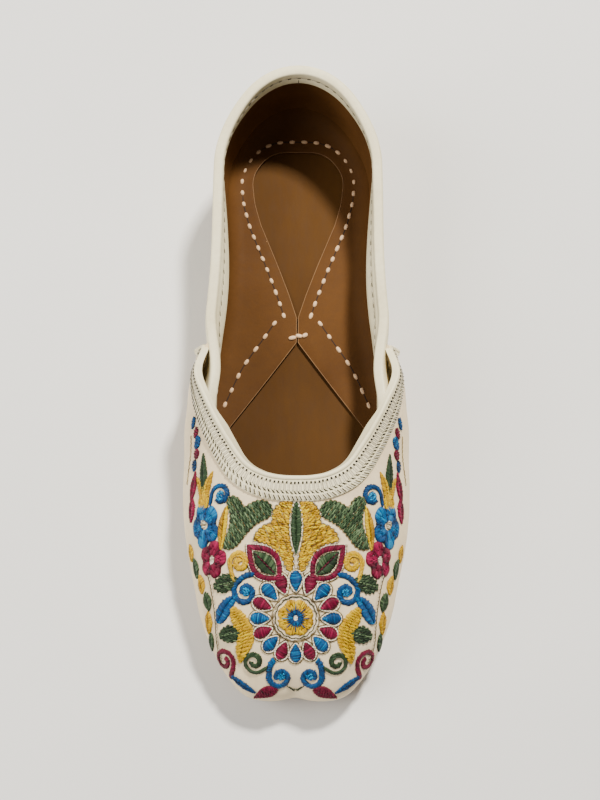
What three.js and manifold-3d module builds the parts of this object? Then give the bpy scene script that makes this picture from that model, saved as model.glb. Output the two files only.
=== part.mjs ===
// A mojari: a flat south asian slip-on shoe in cream leather with an embroidered vamp.
// Millimetres, +Z up, toe towards -Y, heel towards +Y. The origin lies on the ground,
// under the middle of the shoe. The shoe is symmetrical, so it fits either foot.
import * as THREE from 'three';
import { mergeVertices } from 'three/addons/utils/BufferGeometryUtils.js';
import Module from 'manifold-3d';

const wasm = await Module();
wasm.setup();

// Sizes of the last, the solid foot form that the upper's inner face follows
const LAST_LENGTH = 244.8;
const LAST_BALL_WIDTH = 83.2;
const LAST_HEEL_WIDTH = 59.6;
const TOE_HEIGHT = 16;
const THROAT_HEIGHT = 41;
const HEEL_HEIGHT = 45.5;

// Sizes of the leather pieces
const UPPER_WALL = 1.8;
const VAMP_WALL = 1.3;
const BINDING_WALL = 0.7;
const OUTSOLE_THICK = 3.5;
const OUTSOLE_MARGIN = 0.8;
const OUTSOLE_EDGE_ROUND = 0.6;
const INSOLE_THICK = 2;
const FLAP_THICK = 1.2;
const FLAP_SLIT = 0.6;
const HEEL_RISE = 5.5;
const HEEL_LIFT_INSET = 0.8;
const TOE_SPRING = 2.5;
const LIP_WIDE = 1.6;
const LIP_CROWN = 0.3;
const THROAT_BAND_WIDE = 8;
const THROAT_BAND_END = 4;
const TOPLINE_OUTER_SKIRT = 5;
const TOPLINE_INNER_SKIRT = 6;

// Clearances: between two pieces that lie on each other, and inside the topline's fold
const PIECE_GAP = 0.3;
const FOLD_GAP = 0.45;

// How far each skin of the upper stands outside the last
const VAMP_INNER = UPPER_WALL + PIECE_GAP;
const VAMP_OUTER = VAMP_INNER + VAMP_WALL;
const EAR_STAND = FOLD_GAP + BINDING_WALL + PIECE_GAP;
const EAR_FLARE = 1.2;

// The last's middle, moved so that the origin is under the middle of the whole shoe
const MIDDLE_Y = (VAMP_OUTER - UPPER_WALL) / 2;
const alongY = share => MIDDLE_Y + share * LAST_LENGTH;

// Ribs of the last, from the toe tip along one side to the back of the heel.
// turn: degrees round the toe or heel; along: share of the length from the middle.
// foot, belly: shares of the named width; up: share of the named height; box: squareness.
const RIBS = [
  { rib: 'toe tip', turn: 0, width: LAST_BALL_WIDTH, height: THROAT_HEIGHT,
    foot: 0.415, belly: 0.440, up: 0.117, box: 2.6 },
  { rib: 'toe corner', turn: 28, width: LAST_BALL_WIDTH, height: THROAT_HEIGHT,
    foot: 0.428, belly: 0.454, up: 0.124, box: 2.6 },
  { rib: 'toe side', turn: 58, width: LAST_BALL_WIDTH, height: THROAT_HEIGHT,
    foot: 0.386, belly: 0.417, up: 0.161, box: 2.5 },
  { rib: 'toe root', turn: 90, width: LAST_BALL_WIDTH, height: THROAT_HEIGHT,
    foot: 0.388, belly: 0.428, up: 0.202, box: 2.4 },
  { rib: 'vamp front', along: -0.2565, width: LAST_BALL_WIDTH, height: THROAT_HEIGHT,
    foot: 0.433, belly: 0.483, up: 0.232, box: 2.4 },
  { rib: 'ball', along: -0.1585, width: LAST_BALL_WIDTH, height: THROAT_HEIGHT,
    foot: 0.442, belly: 0.500, up: 0.256, box: 2.4 },
  { rib: 'ball back', along: -0.0605, width: LAST_BALL_WIDTH, height: THROAT_HEIGHT,
    foot: 0.421, belly: 0.476, up: 0.280, box: 2.4 },
  { rib: 'waist front', along: 0.0376, width: LAST_BALL_WIDTH, height: THROAT_HEIGHT,
    foot: 0.373, belly: 0.428, up: 0.380, box: 2.9 },
  { rib: 'waist', along: 0.1397, width: LAST_HEEL_WIDTH, height: HEEL_HEIGHT,
    foot: 0.458, belly: 0.539, up: 0.624, box: 2.9 },
  { rib: 'quarter', along: 0.2337, width: LAST_HEEL_WIDTH, height: HEEL_HEIGHT,
    foot: 0.446, belly: 0.522, up: 0.725, box: 2.9 },
  { rib: 'heel side', turn: 0, width: LAST_HEEL_WIDTH, height: HEEL_HEIGHT,
    foot: 0.462, belly: 0.521, up: 0.505, box: 2.7 },
  { rib: 'heel turn', turn: 45, width: LAST_HEEL_WIDTH, height: HEEL_HEIGHT,
    foot: 0.492, belly: 0.550, up: 0.374, box: 2.6 },
  { rib: 'heel back', turn: 90, width: LAST_HEEL_WIDTH, height: HEEL_HEIGHT,
    foot: 0.574, belly: 0.658, up: 0.330, box: 2.25 },
];

// The ridge line along the top of the last, above the sole
const RIDGE = [
  { along: -0.514, height: TOE_HEIGHT, up: 1.00 },
  { along: -0.461, height: TOE_HEIGHT, up: 1.25 },
  { along: -0.404, height: THROAT_HEIGHT, up: 0.618 },
  { along: -0.350, height: THROAT_HEIGHT, up: 0.727 },
  { along: -0.269, height: THROAT_HEIGHT, up: 0.878 },
  { along: -0.179, height: THROAT_HEIGHT, up: 1.00 },
  { along: -0.061, height: THROAT_HEIGHT, up: 1.171 },
  { along: 0.078, height: HEEL_HEIGHT, up: 1.284 },
  { along: 0.242, height: HEEL_HEIGHT, up: 1.560 },
  { along: 0.405, height: HEEL_HEIGHT, up: 1.824 },
  { along: 0.511, height: HEEL_HEIGHT, up: 1.912 },
];

// The finished top edge of the quarters, above the sole, as shares of HEEL_HEIGHT
const TOPLINE = [
  { along: -0.0605, up: 0.835 },
  { along: 0.017, up: 0.793 },
  { along: 0.119, up: 0.760 },
  { along: 0.234, up: 0.791 },
  { along: 0.340, up: 0.879 },
  { along: 0.426, up: 0.956 },
  { along: 0.495, up: 1.000 },
];

// The finished throat edge in plan: out is a share of the ball width
const THROAT = [
  { along: -0.1789, out: 0.000 },
  { along: -0.1773, out: 0.084 },
  { along: -0.1716, out: 0.151 },
  { along: -0.1569, out: 0.224 },
  { along: -0.1197, out: 0.303 },
  { along: -0.0719, out: 0.382 },
  { along: -0.0376, out: 0.430 },
];

// The finished top edge of the vamp's ear from the side, as shares of HEEL_HEIGHT
const EAR_TOP = [
  { along: -0.0110, up: 0.878 },
  { along: 0.0131, up: 0.834 },
  { along: 0.0315, up: 0.783 },
  { along: 0.0400, up: 0.730 },
];

// The ear's cut rear edge from its tip down to the sole
const EAR_REAR = [
  { along: 0.0425, up: 0.672 },
  { along: 0.0450, up: 0.615 },
  { along: 0.0482, up: 0.530 },
  { along: 0.0523, up: 0.340 },
  { along: 0.0580, up: 0.115 },
  { along: 0.0662, up: -0.100 },
];

// The inner edge of the lining flaps. Along the sides, out is a share of the ball width
const FLAP_SIDE = [
  { along: -0.1034, out: 0.415 },
  { along: -0.0645, out: 0.328 },
  { along: 0.0825, out: 0.000 },
  { along: 0.1193, out: 0.000 },
  { along: 0.1601, out: 0.040 },
  { along: 0.2132, out: 0.099 },
  { along: 0.2868, out: 0.186 },
  { along: 0.3235, out: 0.216 },
];
// Round the heel it is a distance from the heel's centre, as a share of the heel width
const FLAP_HEEL = [
  { turn: 0, out: 0.312 },
  { turn: 17, out: 0.334 },
  { turn: 41, out: 0.357 },
  { turn: 62, out: 0.361 },
  { turn: 90, out: 0.336 },
];

// Where the sole leaves the ground, as shares of the length
const ARCH_START = -0.0237;
const ARCH_RUN = 0.245;
const SPRING_START = -0.2892;
const SPRING_RUN = 0.2247;
const HEEL_BREAST = 0.250;
const TOPLINE_FRONT = -0.0441;
const UPPER_THROAT_END = -0.0605;
const STAND_START = -0.145;
const STAND_FULL = -0.065;
const FLARE_RUN = 0.09;
const BARE_RUN = 0.1;
const LIP_SHALLOW_START = -0.105;
const LIP_SHALLOW_RUN = 0.035;
const BAND_TAPER_START = -0.05;

// How finely the faceted forms are cut
const FAN_STEPS = 12;
const SIDE_STEPS = 23;
const LOWER_LEVELS = 3;
const UPPER_LEVELS = 10;
const THROAT_STEPS = 20;
const LOWER_SHARE = 0.30;
const RIGHT_ANGLE = 90;

function ease(t) {
  const c = Math.min(1, Math.max(0, t));
  return c * c * (3 - 2 * c);
}

// A smooth curve through points, level at both ends
function curve(xs, ys) {
  const n = xs.length;
  const h = xs.slice(1).map((x, i) => x - xs[i]);
  const low = new Array(n).fill(0);
  const mid = new Array(n).fill(0);
  const high = new Array(n).fill(0);
  const rhs = new Array(n).fill(0);
  mid[0] = 2 * h[0];
  high[0] = h[0];
  rhs[0] = 6 * (ys[1] - ys[0]) / h[0];
  for (let i = 1; i < n - 1; i++) {
    low[i] = h[i - 1];
    mid[i] = 2 * (h[i - 1] + h[i]);
    high[i] = h[i];
    rhs[i] = 6 * ((ys[i + 1] - ys[i]) / h[i] - (ys[i] - ys[i - 1]) / h[i - 1]);
  }
  low[n - 1] = h[n - 2];
  mid[n - 1] = 2 * h[n - 2];
  rhs[n - 1] = -6 * (ys[n - 1] - ys[n - 2]) / h[n - 2];
  for (let i = 1; i < n; i++) {
    const f = low[i] / mid[i - 1];
    mid[i] -= f * high[i - 1];
    rhs[i] -= f * rhs[i - 1];
  }
  const bend = new Array(n).fill(0);
  bend[n - 1] = rhs[n - 1] / mid[n - 1];
  for (let i = n - 2; i >= 0; i--) {
    bend[i] = (rhs[i] - high[i] * bend[i + 1]) / mid[i];
  }
  return x => {
    const c = Math.min(xs[n - 1], Math.max(xs[0], x));
    let i = 0;
    while (i < n - 2 && c > xs[i + 1]) i++;
    const a = c - xs[i];
    const b = xs[i + 1] - c;
    const w = h[i];
    return (bend[i] * b ** 3 + bend[i + 1] * a ** 3) / (6 * w)
      + (ys[i] / w - bend[i] * w / 6) * b
      + (ys[i + 1] / w - bend[i + 1] * w / 6) * a;
  };
}

// Straight lines through points
function polyline(xs, ys) {
  const n = xs.length;
  return x => {
    const c = Math.min(xs[n - 1], Math.max(xs[0], x));
    let i = 0;
    while (i < n - 2 && c > xs[i + 1]) i++;
    const t = (c - xs[i]) / (xs[i + 1] - xs[i]);
    return ys[i] + (ys[i + 1] - ys[i]) * t;
  };
}

// Stations along the last's edge: the toe fan, the straight side and the heel fan
const TIP = RIBS[0];
const BACK = RIBS[RIBS.length - 1];
const TOE_RADIUS = TIP.belly * TIP.width;
const HEEL_RADIUS = BACK.belly * BACK.width;
const TOE_Y = alongY(-0.5) + TOE_RADIUS;
const HEEL_Y = alongY(0.5) - HEEL_RADIUS;
const toeStation = deg => THREE.MathUtils.degToRad(deg) * TOE_RADIUS;
const sideStation = y => toeStation(RIGHT_ANGLE) + y - TOE_Y;
const heelStation = deg => sideStation(HEEL_Y) + THREE.MathUtils.degToRad(deg) * HEEL_RADIUS;
const END_STATION = heelStation(RIGHT_ANGLE);
const SIDE_STEP = (HEEL_Y - TOE_Y) / SIDE_STEPS;
const CLEAR_STEP = SIDE_STEP / 5;

function stationOf(row, index) {
  if (row.turn === undefined) return sideStation(alongY(row.along));
  return index < RIBS.length / 2 ? toeStation(row.turn) : heelStation(row.turn);
}
const STATIONS = RIBS.map(stationOf);
const footAt = curve(STATIONS, RIBS.map(r => r.foot * r.width));
const bellyAt = curve(STATIONS, RIBS.map(r => r.belly * r.width));
const bellyUpAt = curve(STATIONS, RIBS.map(r => r.up * r.height));
const boxAt = curve(STATIONS, RIBS.map(r => r.box));
const ridgeAt = curve(RIDGE.map(r => alongY(r.along)), RIDGE.map(r => r.up * r.height));
const toplineAt = curve(TOPLINE.map(r => alongY(r.along)), TOPLINE.map(r => r.up * HEEL_HEIGHT));

// The top face of the outsole: flat under the ball, raised at the heel and the toe
function soleTop(y) {
  const arch = ease((y - alongY(ARCH_START)) / (ARCH_RUN * LAST_LENGTH));
  const spring = (alongY(SPRING_START) - y) / (SPRING_RUN * LAST_LENGTH);
  const toe = Math.min(1, Math.max(0, spring));
  return OUTSOLE_THICK + HEEL_RISE * arch + TOE_SPRING * toe * toe;
}

// The rib at a station: its centre on the middle line, and its direction in plan
function ribFrame(g) {
  if (g < toeStation(RIGHT_ANGLE)) {
    const a = g / TOE_RADIUS;
    return { cy: TOE_Y, dx: Math.sin(a), dy: -Math.cos(a) };
  }
  if (g > sideStation(HEEL_Y)) {
    const a = (g - sideStation(HEEL_Y)) / HEEL_RADIUS;
    return { cy: HEEL_Y, dx: Math.cos(a), dy: Math.sin(a) };
  }
  return { cy: TOE_Y + g - toeStation(RIGHT_ANGLE), dx: 1, dy: 0 };
}

// The vamp lifts off the quarter towards its ears, to clear the topline binding
function earStand(y) {
  const stand = ease((y - alongY(STAND_START)) / ((STAND_FULL - STAND_START) * LAST_LENGTH));
  const flare = ease((y - alongY(STAND_FULL)) / (FLARE_RUN * LAST_LENGTH));
  return EAR_STAND * stand + EAR_FLARE * flare;
}

// A point of the last's surface, set out by an offset. v runs from the sole to the ridge
function lastPoint(g, v, offset) {
  const { cy, dx, dy } = ribFrame(g);
  const foot = footAt(g);
  const belly = bellyAt(g);
  const up = bellyUpAt(g);
  const box = boxAt(g);
  if (v < LOWER_SHARE) {
    const rise = v / LOWER_SHARE;
    const out = offset(cy + dy * belly, rise);
    const radius = foot + (belly - foot) * (1 - (1 - rise) ** 2) + out;
    const y = cy + dy * radius;
    return new THREE.Vector3(dx * radius, y, soleTop(y) + PIECE_GAP + (up - PIECE_GAP) * rise);
  }
  const t = (v - LOWER_SHARE) / (1 - LOWER_SHARE) * Math.PI / 2;
  const shrink = v >= 1 ? 0 : Math.cos(t) ** (2 / box);
  const climb = v >= 1 ? 1 : Math.sin(t) ** (2 / box);
  const out = offset(cy + dy * belly * shrink, 1);
  const radius = (belly + out) * shrink;
  const y = cy + dy * radius;
  const z = soleTop(y) + up * (1 - climb) + (ridgeAt(y) + out) * climb;
  return new THREE.Vector3(dx * radius, y, z);
}

const skin = size => () => size;
const vampSkin = size => (y, rise) => size + earStand(y) * rise;

// The same surface as a level: zero on the skin, negative inside it, for its upper part
function level(p, offset) {
  const x = Math.abs(p.x);
  const cy = Math.min(HEEL_Y, Math.max(TOE_Y, p.y));
  const radius = Math.hypot(x, p.y - cy);
  let g = sideStation(cy);
  if (p.y < TOE_Y) g = Math.atan2(x, TOE_Y - p.y) * TOE_RADIUS;
  if (p.y > HEEL_Y) g = sideStation(HEEL_Y) + Math.atan2(p.y - HEEL_Y, x) * HEEL_RADIUS;
  const out = offset(p.y, 1);
  const box = boxAt(g);
  const up = bellyUpAt(g);
  const climb = Math.max(0, (p.z - soleTop(p.y) - up) / (ridgeAt(p.y) + out - up));
  return (radius / (bellyAt(g) + out)) ** box + climb ** box - 1;
}

function slope(p, offset) {
  const e = 0.01;
  const part = axis => {
    const a = p.clone();
    const b = p.clone();
    a[axis] += e;
    b[axis] -= e;
    return (level(a, offset) - level(b, offset)) / (2 * e);
  };
  return new THREE.Vector3(part('x'), part('y'), part('z'));
}

function ontoSkin(p, offset) {
  const q = p.clone();
  for (let i = 0; i < 8; i++) {
    const s = slope(q, offset);
    q.addScaledVector(s, -level(q, offset) / s.lengthSq());
  }
  return q;
}

// The height of the skin above a plan point, and its half width at a height
function skinHeight(x, y, offset) {
  const g = sideStation(y);
  const out = offset(y, 1);
  const up = bellyUpAt(g);
  const part = 1 - (Math.abs(x) / (bellyAt(g) + out)) ** boxAt(g);
  return soleTop(y) + up + (ridgeAt(y) + out - up) * part ** (1 / boxAt(g));
}
function skinHalfWidth(y, z, offset) {
  const g = sideStation(y);
  const out = offset(y, 1);
  const up = bellyUpAt(g);
  const climb = Math.max(0, (z - soleTop(y) - up) / (ridgeAt(y) + out - up));
  return (bellyAt(g) + out) * (1 - climb ** boxAt(g)) ** (1 / boxAt(g));
}

// A closed mesh from a list of triangles, each with three points
function solidGeometry(triangles) {
  const kept = triangles.filter(([a, b, c]) => {
    const same = (p, q) => p.distanceToSquared(q) < 1e-10;
    return !same(a, b) && !same(b, c) && !same(c, a);
  });
  const flat = new Float32Array(kept.length * 9);
  kept.forEach((tri, i) => tri.forEach((p, j) => p.toArray(flat, i * 9 + j * 3)));
  const loose = new THREE.BufferGeometry();
  loose.setAttribute('position', new THREE.BufferAttribute(flat, 3));
  const geometry = mergeVertices(loose, 1e-4);
  const index = geometry.index.array;
  const at = geometry.attributes.position;
  let volume = 0;
  const a = new THREE.Vector3();
  const b = new THREE.Vector3();
  const c = new THREE.Vector3();
  for (let i = 0; i < index.length; i += 3) {
    a.fromBufferAttribute(at, index[i]);
    b.fromBufferAttribute(at, index[i + 1]);
    c.fromBufferAttribute(at, index[i + 2]);
    volume += a.dot(b.cross(c));
  }
  if (volume < 0) {
    for (let i = 0; i < index.length; i += 3) {
      [index[i + 1], index[i + 2]] = [index[i + 2], index[i + 1]];
    }
  }
  return geometry;
}

function toManifold(geometry) {
  return new wasm.Manifold(new wasm.Mesh({
    numProp: 3,
    vertProperties: new Float32Array(geometry.attributes.position.array),
    triVerts: new Uint32Array(geometry.index.array),
  }));
}

function fromManifold(solid) {
  const mesh = solid.getMesh();
  const geometry = new THREE.BufferGeometry();
  geometry.setAttribute('position', new THREE.BufferAttribute(mesh.vertProperties, 3));
  geometry.setIndex(new THREE.BufferAttribute(mesh.triVerts, 1));
  return geometry;
}

const mirrored = p => new THREE.Vector3(-p.x, p.y, p.z);

// A ring of points round the shoe from one side's points, toe tip first and heel back last
function ringOf(side) {
  const ring = side.slice();
  for (let i = side.length - 2; i > 0; i--) ring.push(mirrored(side[i]));
  return ring;
}

function wallBetween(low, high, triangles) {
  const n = low.length;
  for (let i = 0; i < n; i++) {
    const j = (i + 1) % n;
    triangles.push([low[i], low[j], high[j]], [low[i], high[j], high[i]]);
  }
}

// A lid across a ring, in strips from one side of the shoe to the other
function lidAcross(side, upward, triangles) {
  for (let i = 0; i < side.length - 1; i++) {
    const a = side[i];
    const b = side[i + 1];
    const c = mirrored(b);
    const d = mirrored(a);
    const strip = upward ? [[a, b, c], [a, c, d]] : [[a, c, b], [a, d, c]];
    triangles.push(...strip);
  }
}

function sideStations() {
  const list = [];
  for (let i = 0; i < FAN_STEPS; i++) list.push(toeStation(RIGHT_ANGLE * i / FAN_STEPS));
  for (let i = 0; i < SIDE_STEPS; i++) {
    list.push(sideStation(TOE_Y + SIDE_STEP * i));
  }
  for (let i = 0; i <= FAN_STEPS; i++) list.push(heelStation(RIGHT_ANGLE * i / FAN_STEPS));
  return list;
}

// The solid form of the last at an offset; a dropped form passes through the sole plane
function lastForm(offset, drop) {
  const stations = sideStations();
  const triangles = [];
  const rows = [];
  for (let i = 0; i < LOWER_LEVELS; i++) rows.push(LOWER_SHARE * i / LOWER_LEVELS);
  for (let i = 0; i < UPPER_LEVELS; i++) {
    rows.push(LOWER_SHARE + (1 - LOWER_SHARE) * i / UPPER_LEVELS);
  }
  const sides = rows.map(v => stations.map(g => lastPoint(g, v, offset)));
  if (drop > 0) {
    sides.unshift(sides[0].map(p => new THREE.Vector3(p.x, p.y, p.z - drop)));
  }
  for (let i = 0; i < sides.length - 1; i++) {
    wallBetween(ringOf(sides[i]), ringOf(sides[i + 1]), triangles);
  }
  const ridge = stations.map(g => lastPoint(g, 1, offset));
  wallBetween(ringOf(sides[sides.length - 1]), ringOf(ridge), triangles);
  lidAcross(sides[0], false, triangles);
  return toManifold(solidGeometry(triangles));
}

// A slab on the sole, from rings that are given by inset and height above the sole's top
function slabGeometry(stations, radiusOf, levels) {
  const sides = levels.map(({ inset, above }) => stations.map(g => {
    const { cy, dx, dy } = ribFrame(g);
    const radius = radiusOf(g) - inset;
    const y = cy + dy * radius;
    return new THREE.Vector3(dx * radius, y, above(y));
  }));
  const triangles = [];
  const open = sides[0][0].x > 1e-6;
  for (let i = 0; i < sides.length - 1; i++) {
    const low = ringOf(sides[i]);
    const high = ringOf(sides[i + 1]);
    if (open) {
      low.push(mirrored(sides[i][0]));
      high.push(mirrored(sides[i + 1][0]));
    }
    wallBetween(low, high, triangles);
  }
  lidAcross(sides[0], false, triangles);
  lidAcross(sides[sides.length - 1], true, triangles);
  return solidGeometry(triangles);
}

// A solid swept through closed sections of equal length, with flat ends
function sweptGeometry(sections) {
  const triangles = [];
  for (let k = 0; k < sections.length - 1; k++) {
    wallBetween(sections[k].points, sections[k + 1].points, triangles);
  }
  const endLid = (section, reverse) => {
    const faces = THREE.ShapeUtils.triangulateShape(section.flat, []);
    for (const [a, b, c] of faces) {
      const p = section.points;
      triangles.push(reverse ? [p[a], p[c], p[b]] : [p[a], p[b], p[c]]);
    }
  };
  const first = sections[0];
  const last = sections[sections.length - 1];
  const inOrder = THREE.ShapeUtils.isClockWise(first.flat);
  endLid(first, !inOrder);
  endLid(last, inOrder);
  return solidGeometry(triangles);
}

// A prism across the shoe from an outline in the side view
function sidePrism(outline, halfWide) {
  const shape = new THREE.Shape(outline.map(p => new THREE.Vector2(p.y, p.z)));
  const geometry = new THREE.ExtrudeGeometry(shape, { depth: 2 * halfWide, bevelEnabled: false });
  const toWorld = new THREE.Matrix4().set(
    0, 0, 1, -halfWide,
    1, 0, 0, 0,
    0, 1, 0, 0,
    0, 0, 0, 1,
  );
  geometry.applyMatrix4(toWorld);
  geometry.deleteAttribute('normal');
  geometry.deleteAttribute('uv');
  return toManifold(mergeVertices(geometry, 1e-4));
}

// The finished throat edge on the vamp's outer skin, from the middle out to one ear tip
const vampOuter = vampSkin(VAMP_OUTER);
function throatSide() {
  const front = THROAT.map(row => {
    const x = row.out * LAST_BALL_WIDTH;
    const y = alongY(row.along);
    return new THREE.Vector3(x, y, skinHeight(x, y, vampOuter));
  });
  const ear = EAR_TOP.map(row => {
    const y = alongY(row.along);
    const z = soleTop(y) + row.up * HEEL_HEIGHT;
    return new THREE.Vector3(skinHalfWidth(y, z, vampOuter), y, z);
  });
  const knots = bothSides(front.concat(ear));
  const path = new THREE.CatmullRomCurve3(knots, false, 'centripetal');
  const points = path.getSpacedPoints(2 * THROAT_STEPS).map(p => ontoSkin(p, vampOuter));
  points[THROAT_STEPS].x = 0;
  return points.slice(THROAT_STEPS);
}

function bothSides(side) {
  return side.slice(1).reverse().map(mirrored).concat(side);
}

// Frames along an edge: the skin's normal and the direction away from the opening
function edgeFrames(points, offset, away) {
  return points.map((p, k) => {
    const before = points[Math.max(0, k - 1)];
    const after = points[Math.min(points.length - 1, k + 1)];
    const tangent = after.clone().sub(before).normalize();
    const normal = slope(p, offset).normalize();
    const out = tangent.clone().cross(normal).normalize();
    if (out.dot(away(p)) < 0) out.negate();
    return { p, tangent, normal, out };
  });
}

// A point at a distance from the edge along the skin, and at a height over the skin
function bandPoint(frame, offset, distance, over) {
  const steps = Math.max(1, Math.ceil(Math.abs(distance) / 2));
  let p = frame.p.clone();
  let { normal } = frame;
  for (let i = 0; i < steps; i++) {
    const run = frame.out.clone();
    run.addScaledVector(normal, -run.dot(normal)).normalize();
    p.addScaledVector(run, distance / steps);
    p = ontoSkin(p, offset);
    normal = slope(p, offset).normalize();
  }
  return p.addScaledVector(normal, over);
}

const throatPoints = throatSide();
const throatFrames = edgeFrames(
  bothSides(throatPoints),
  vampOuter,
  p => new THREE.Vector3(p.x, Math.min(0, p.y - alongY(THROAT[5].along)), -Math.abs(p.x) / 2),
);

// The leather stops a lip's width short of the finished edge
const leatherEdge = throatFrames
  .slice(THROAT_STEPS)
  .map(frame => bandPoint(frame, vampOuter, LIP_WIDE + PIECE_GAP, 0));
leatherEdge[0].x = 0;
const upperOuter = skin(UPPER_WALL);
const HIGH = 4 * HEEL_HEIGHT;
const FAR = LAST_LENGTH;

// The quarters' cut edge lies a binding's thickness under the finished topline
function edgeShare(g) {
  let low = LOWER_SHARE;
  let high = 1;
  for (let i = 0; i < 40; i++) {
    const mid = (low + high) / 2;
    const p = lastPoint(g, mid, upperOuter);
    const edge = soleTop(p.y) + toplineAt(p.y) - BINDING_WALL - FOLD_GAP;
    if (p.z < edge) low = mid;
    else high = mid;
  }
  return low;
}
function quarterEdge(g) {
  const p = lastPoint(g, edgeShare(g), upperOuter);
  if (g >= END_STATION) p.x = 0;
  return p;
}
// The inner face's edge straight across the wall from an outer edge point
function acrossWall(p, thickness, fromSkin, toSkin) {
  const normal = slope(p, fromSkin).normalize();
  const q = ontoSkin(p.clone().addScaledVector(normal, -thickness), toSkin);
  if (p.x === 0) q.x = 0;
  return q;
}

// A cutter over an edge: square to the skin at the edge, and straight up outside it
function openingCutter(edge, offset) {
  const frames = edgeFrames(edge, offset, () => new THREE.Vector3(0, 0, -1));
  const reach = 2 * VAMP_OUTER;
  const levels = [-reach, reach].map(over => frames.map(frame => {
    const p = frame.p.clone().addScaledVector(frame.normal, over);
    if (frame.p.x < 1e-6) p.x = 0;
    return p;
  }));
  levels.push(levels[1].map(p => new THREE.Vector3(p.x, p.y, HIGH)));
  for (const level of levels) {
    const start = level[0];
    const end = level[level.length - 1];
    if (start.x > 0) level.unshift(new THREE.Vector3(0, start.y, start.z));
    if (end.x > 0) level.push(new THREE.Vector3(0, end.y, end.z));
  }
  const triangles = [];
  wallBetween(ringOf(levels[0]), ringOf(levels[1]), triangles);
  wallBetween(ringOf(levels[1]), ringOf(levels[2]), triangles);
  lidAcross(levels[0], false, triangles);
  lidAcross(levels[2], true, triangles);
  return toManifold(solidGeometry(triangles));
}

// The upper's opening: the throat in front, then the quarters' edge to the heel
function upperEdge() {
  const joinY = alongY(UPPER_THROAT_END);
  const front = leatherEdge
    .filter(p => p.y < joinY - 2 * CLEAR_STEP)
    .map(p => acrossWall(p, VAMP_OUTER - UPPER_WALL, vampOuter, upperOuter));
  const start = sideStation(joinY + CLEAR_STEP);
  const rear = sideStations().filter(g => g > start).map(quarterEdge);
  return front.concat(rear);
}

// Everything behind the vamp's ear
function earCut() {
  const tip = leatherEdge[leatherEdge.length - 1];
  const outline = [{ y: tip.y, z: tip.z }];
  for (const row of EAR_REAR) {
    const y = alongY(row.along);
    outline.push({ y, z: soleTop(y) + row.up * HEEL_HEIGHT });
  }
  outline.push({ y: FAR, z: outline[outline.length - 1].z });
  outline.push({ y: FAR, z: HIGH }, { y: tip.y, z: HIGH });
  return sidePrism(outline, FAR);
}

const DROP = 30;
const upperSolid = lastForm(upperOuter, 0)
  .subtract(lastForm(skin(0), DROP))
  .subtract(openingCutter(upperEdge(), upperOuter));
const vampSolid = lastForm(vampOuter, 0)
  .subtract(lastForm(vampSkin(VAMP_INNER), DROP))
  .subtract(openingCutter(leatherEdge, vampOuter))
  .subtract(earCut());

// Sole pieces
function outsoleRadius(g) {
  const { cy, dy } = ribFrame(g);
  const y = cy + dy * footAt(g);
  const bare = ease((y - alongY(EAR_REAR[0].along)) / (BARE_RUN * LAST_LENGTH));
  return footAt(g) + UPPER_WALL + OUTSOLE_MARGIN + (VAMP_OUTER - UPPER_WALL) * (1 - bare);
}
const outsoleGeometry = slabGeometry(sideStations(), outsoleRadius, [
  { inset: OUTSOLE_EDGE_ROUND, above: y => soleTop(y) - OUTSOLE_THICK },
  { inset: 0, above: y => soleTop(y) - OUTSOLE_THICK + OUTSOLE_EDGE_ROUND },
  { inset: 0, above: y => soleTop(y) - OUTSOLE_EDGE_ROUND },
  { inset: OUTSOLE_EDGE_ROUND, above: soleTop },
]);
const insoleGeometry = slabGeometry(sideStations(), g => footAt(g) - PIECE_GAP, [
  { inset: 0, above: y => soleTop(y) + PIECE_GAP },
  { inset: 0, above: y => soleTop(y) + PIECE_GAP + INSOLE_THICK },
]);
const breast = sideStation(alongY(HEEL_BREAST));
const liftStations = [breast].concat(sideStations().filter(g => g > breast + CLEAR_STEP));
const heelLiftGeometry = slabGeometry(liftStations, outsoleRadius, [
  { inset: HEEL_LIFT_INSET, above: () => 0 },
  { inset: HEEL_LIFT_INSET, above: y => soleTop(y) - OUTSOLE_THICK - PIECE_GAP },
]);

// The lining flaps: a horseshoe on the insole, its two front tongues a slit apart
function flapSections() {
  const sideEdge = polyline(
    FLAP_SIDE.map(r => alongY(r.along)),
    FLAP_SIDE.map(r => r.out * LAST_BALL_WIDTH),
  );
  const heelEdge = curve(
    FLAP_HEEL.map(r => heelStation(r.turn)),
    FLAP_HEEL.map(r => r.out * LAST_HEEL_WIDTH),
  );
  const front = sideStation(alongY(FLAP_SIDE[0].along));
  const corners = FLAP_SIDE.slice(0, -1).map(r => sideStation(alongY(r.along)));
  const clear = g => corners.every(c => Math.abs(c - g) > CLEAR_STEP);
  const stations = sideStations().filter(g => g > front && clear(g)).concat(corners);
  stations.sort((a, b) => a - b);
  const section = (g, mirror) => {
    const { cy, dx, dy } = ribFrame(g);
    const inner = g < sideStation(HEEL_Y) ? sideEdge(cy) : heelEdge(g);
    const radii = [footAt(g) - PIECE_GAP, Math.max(inner, FLAP_SLIT / 2)];
    const low = PIECE_GAP + INSOLE_THICK + PIECE_GAP;
    const points = [];
    for (const [radius, above] of [
      [radii[0], low], [radii[1], low], [radii[1], low + FLAP_THICK], [radii[0], low + FLAP_THICK],
    ]) {
      const y = cy + dy * radius;
      points.push(new THREE.Vector3(dx * radius * (mirror ? -1 : 1), y, soleTop(y) + above));
    }
    return points;
  };
  const flat = [[1, 0], [0, 0], [0, 1], [1, 1]].map(([x, y]) => new THREE.Vector2(x, y));
  const one = stations.map(g => ({ points: section(g, false), flat }));
  const other = stations.slice(0, -1).reverse().map(g => ({ points: section(g, true), flat }));
  return one.concat(other);
}

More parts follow.
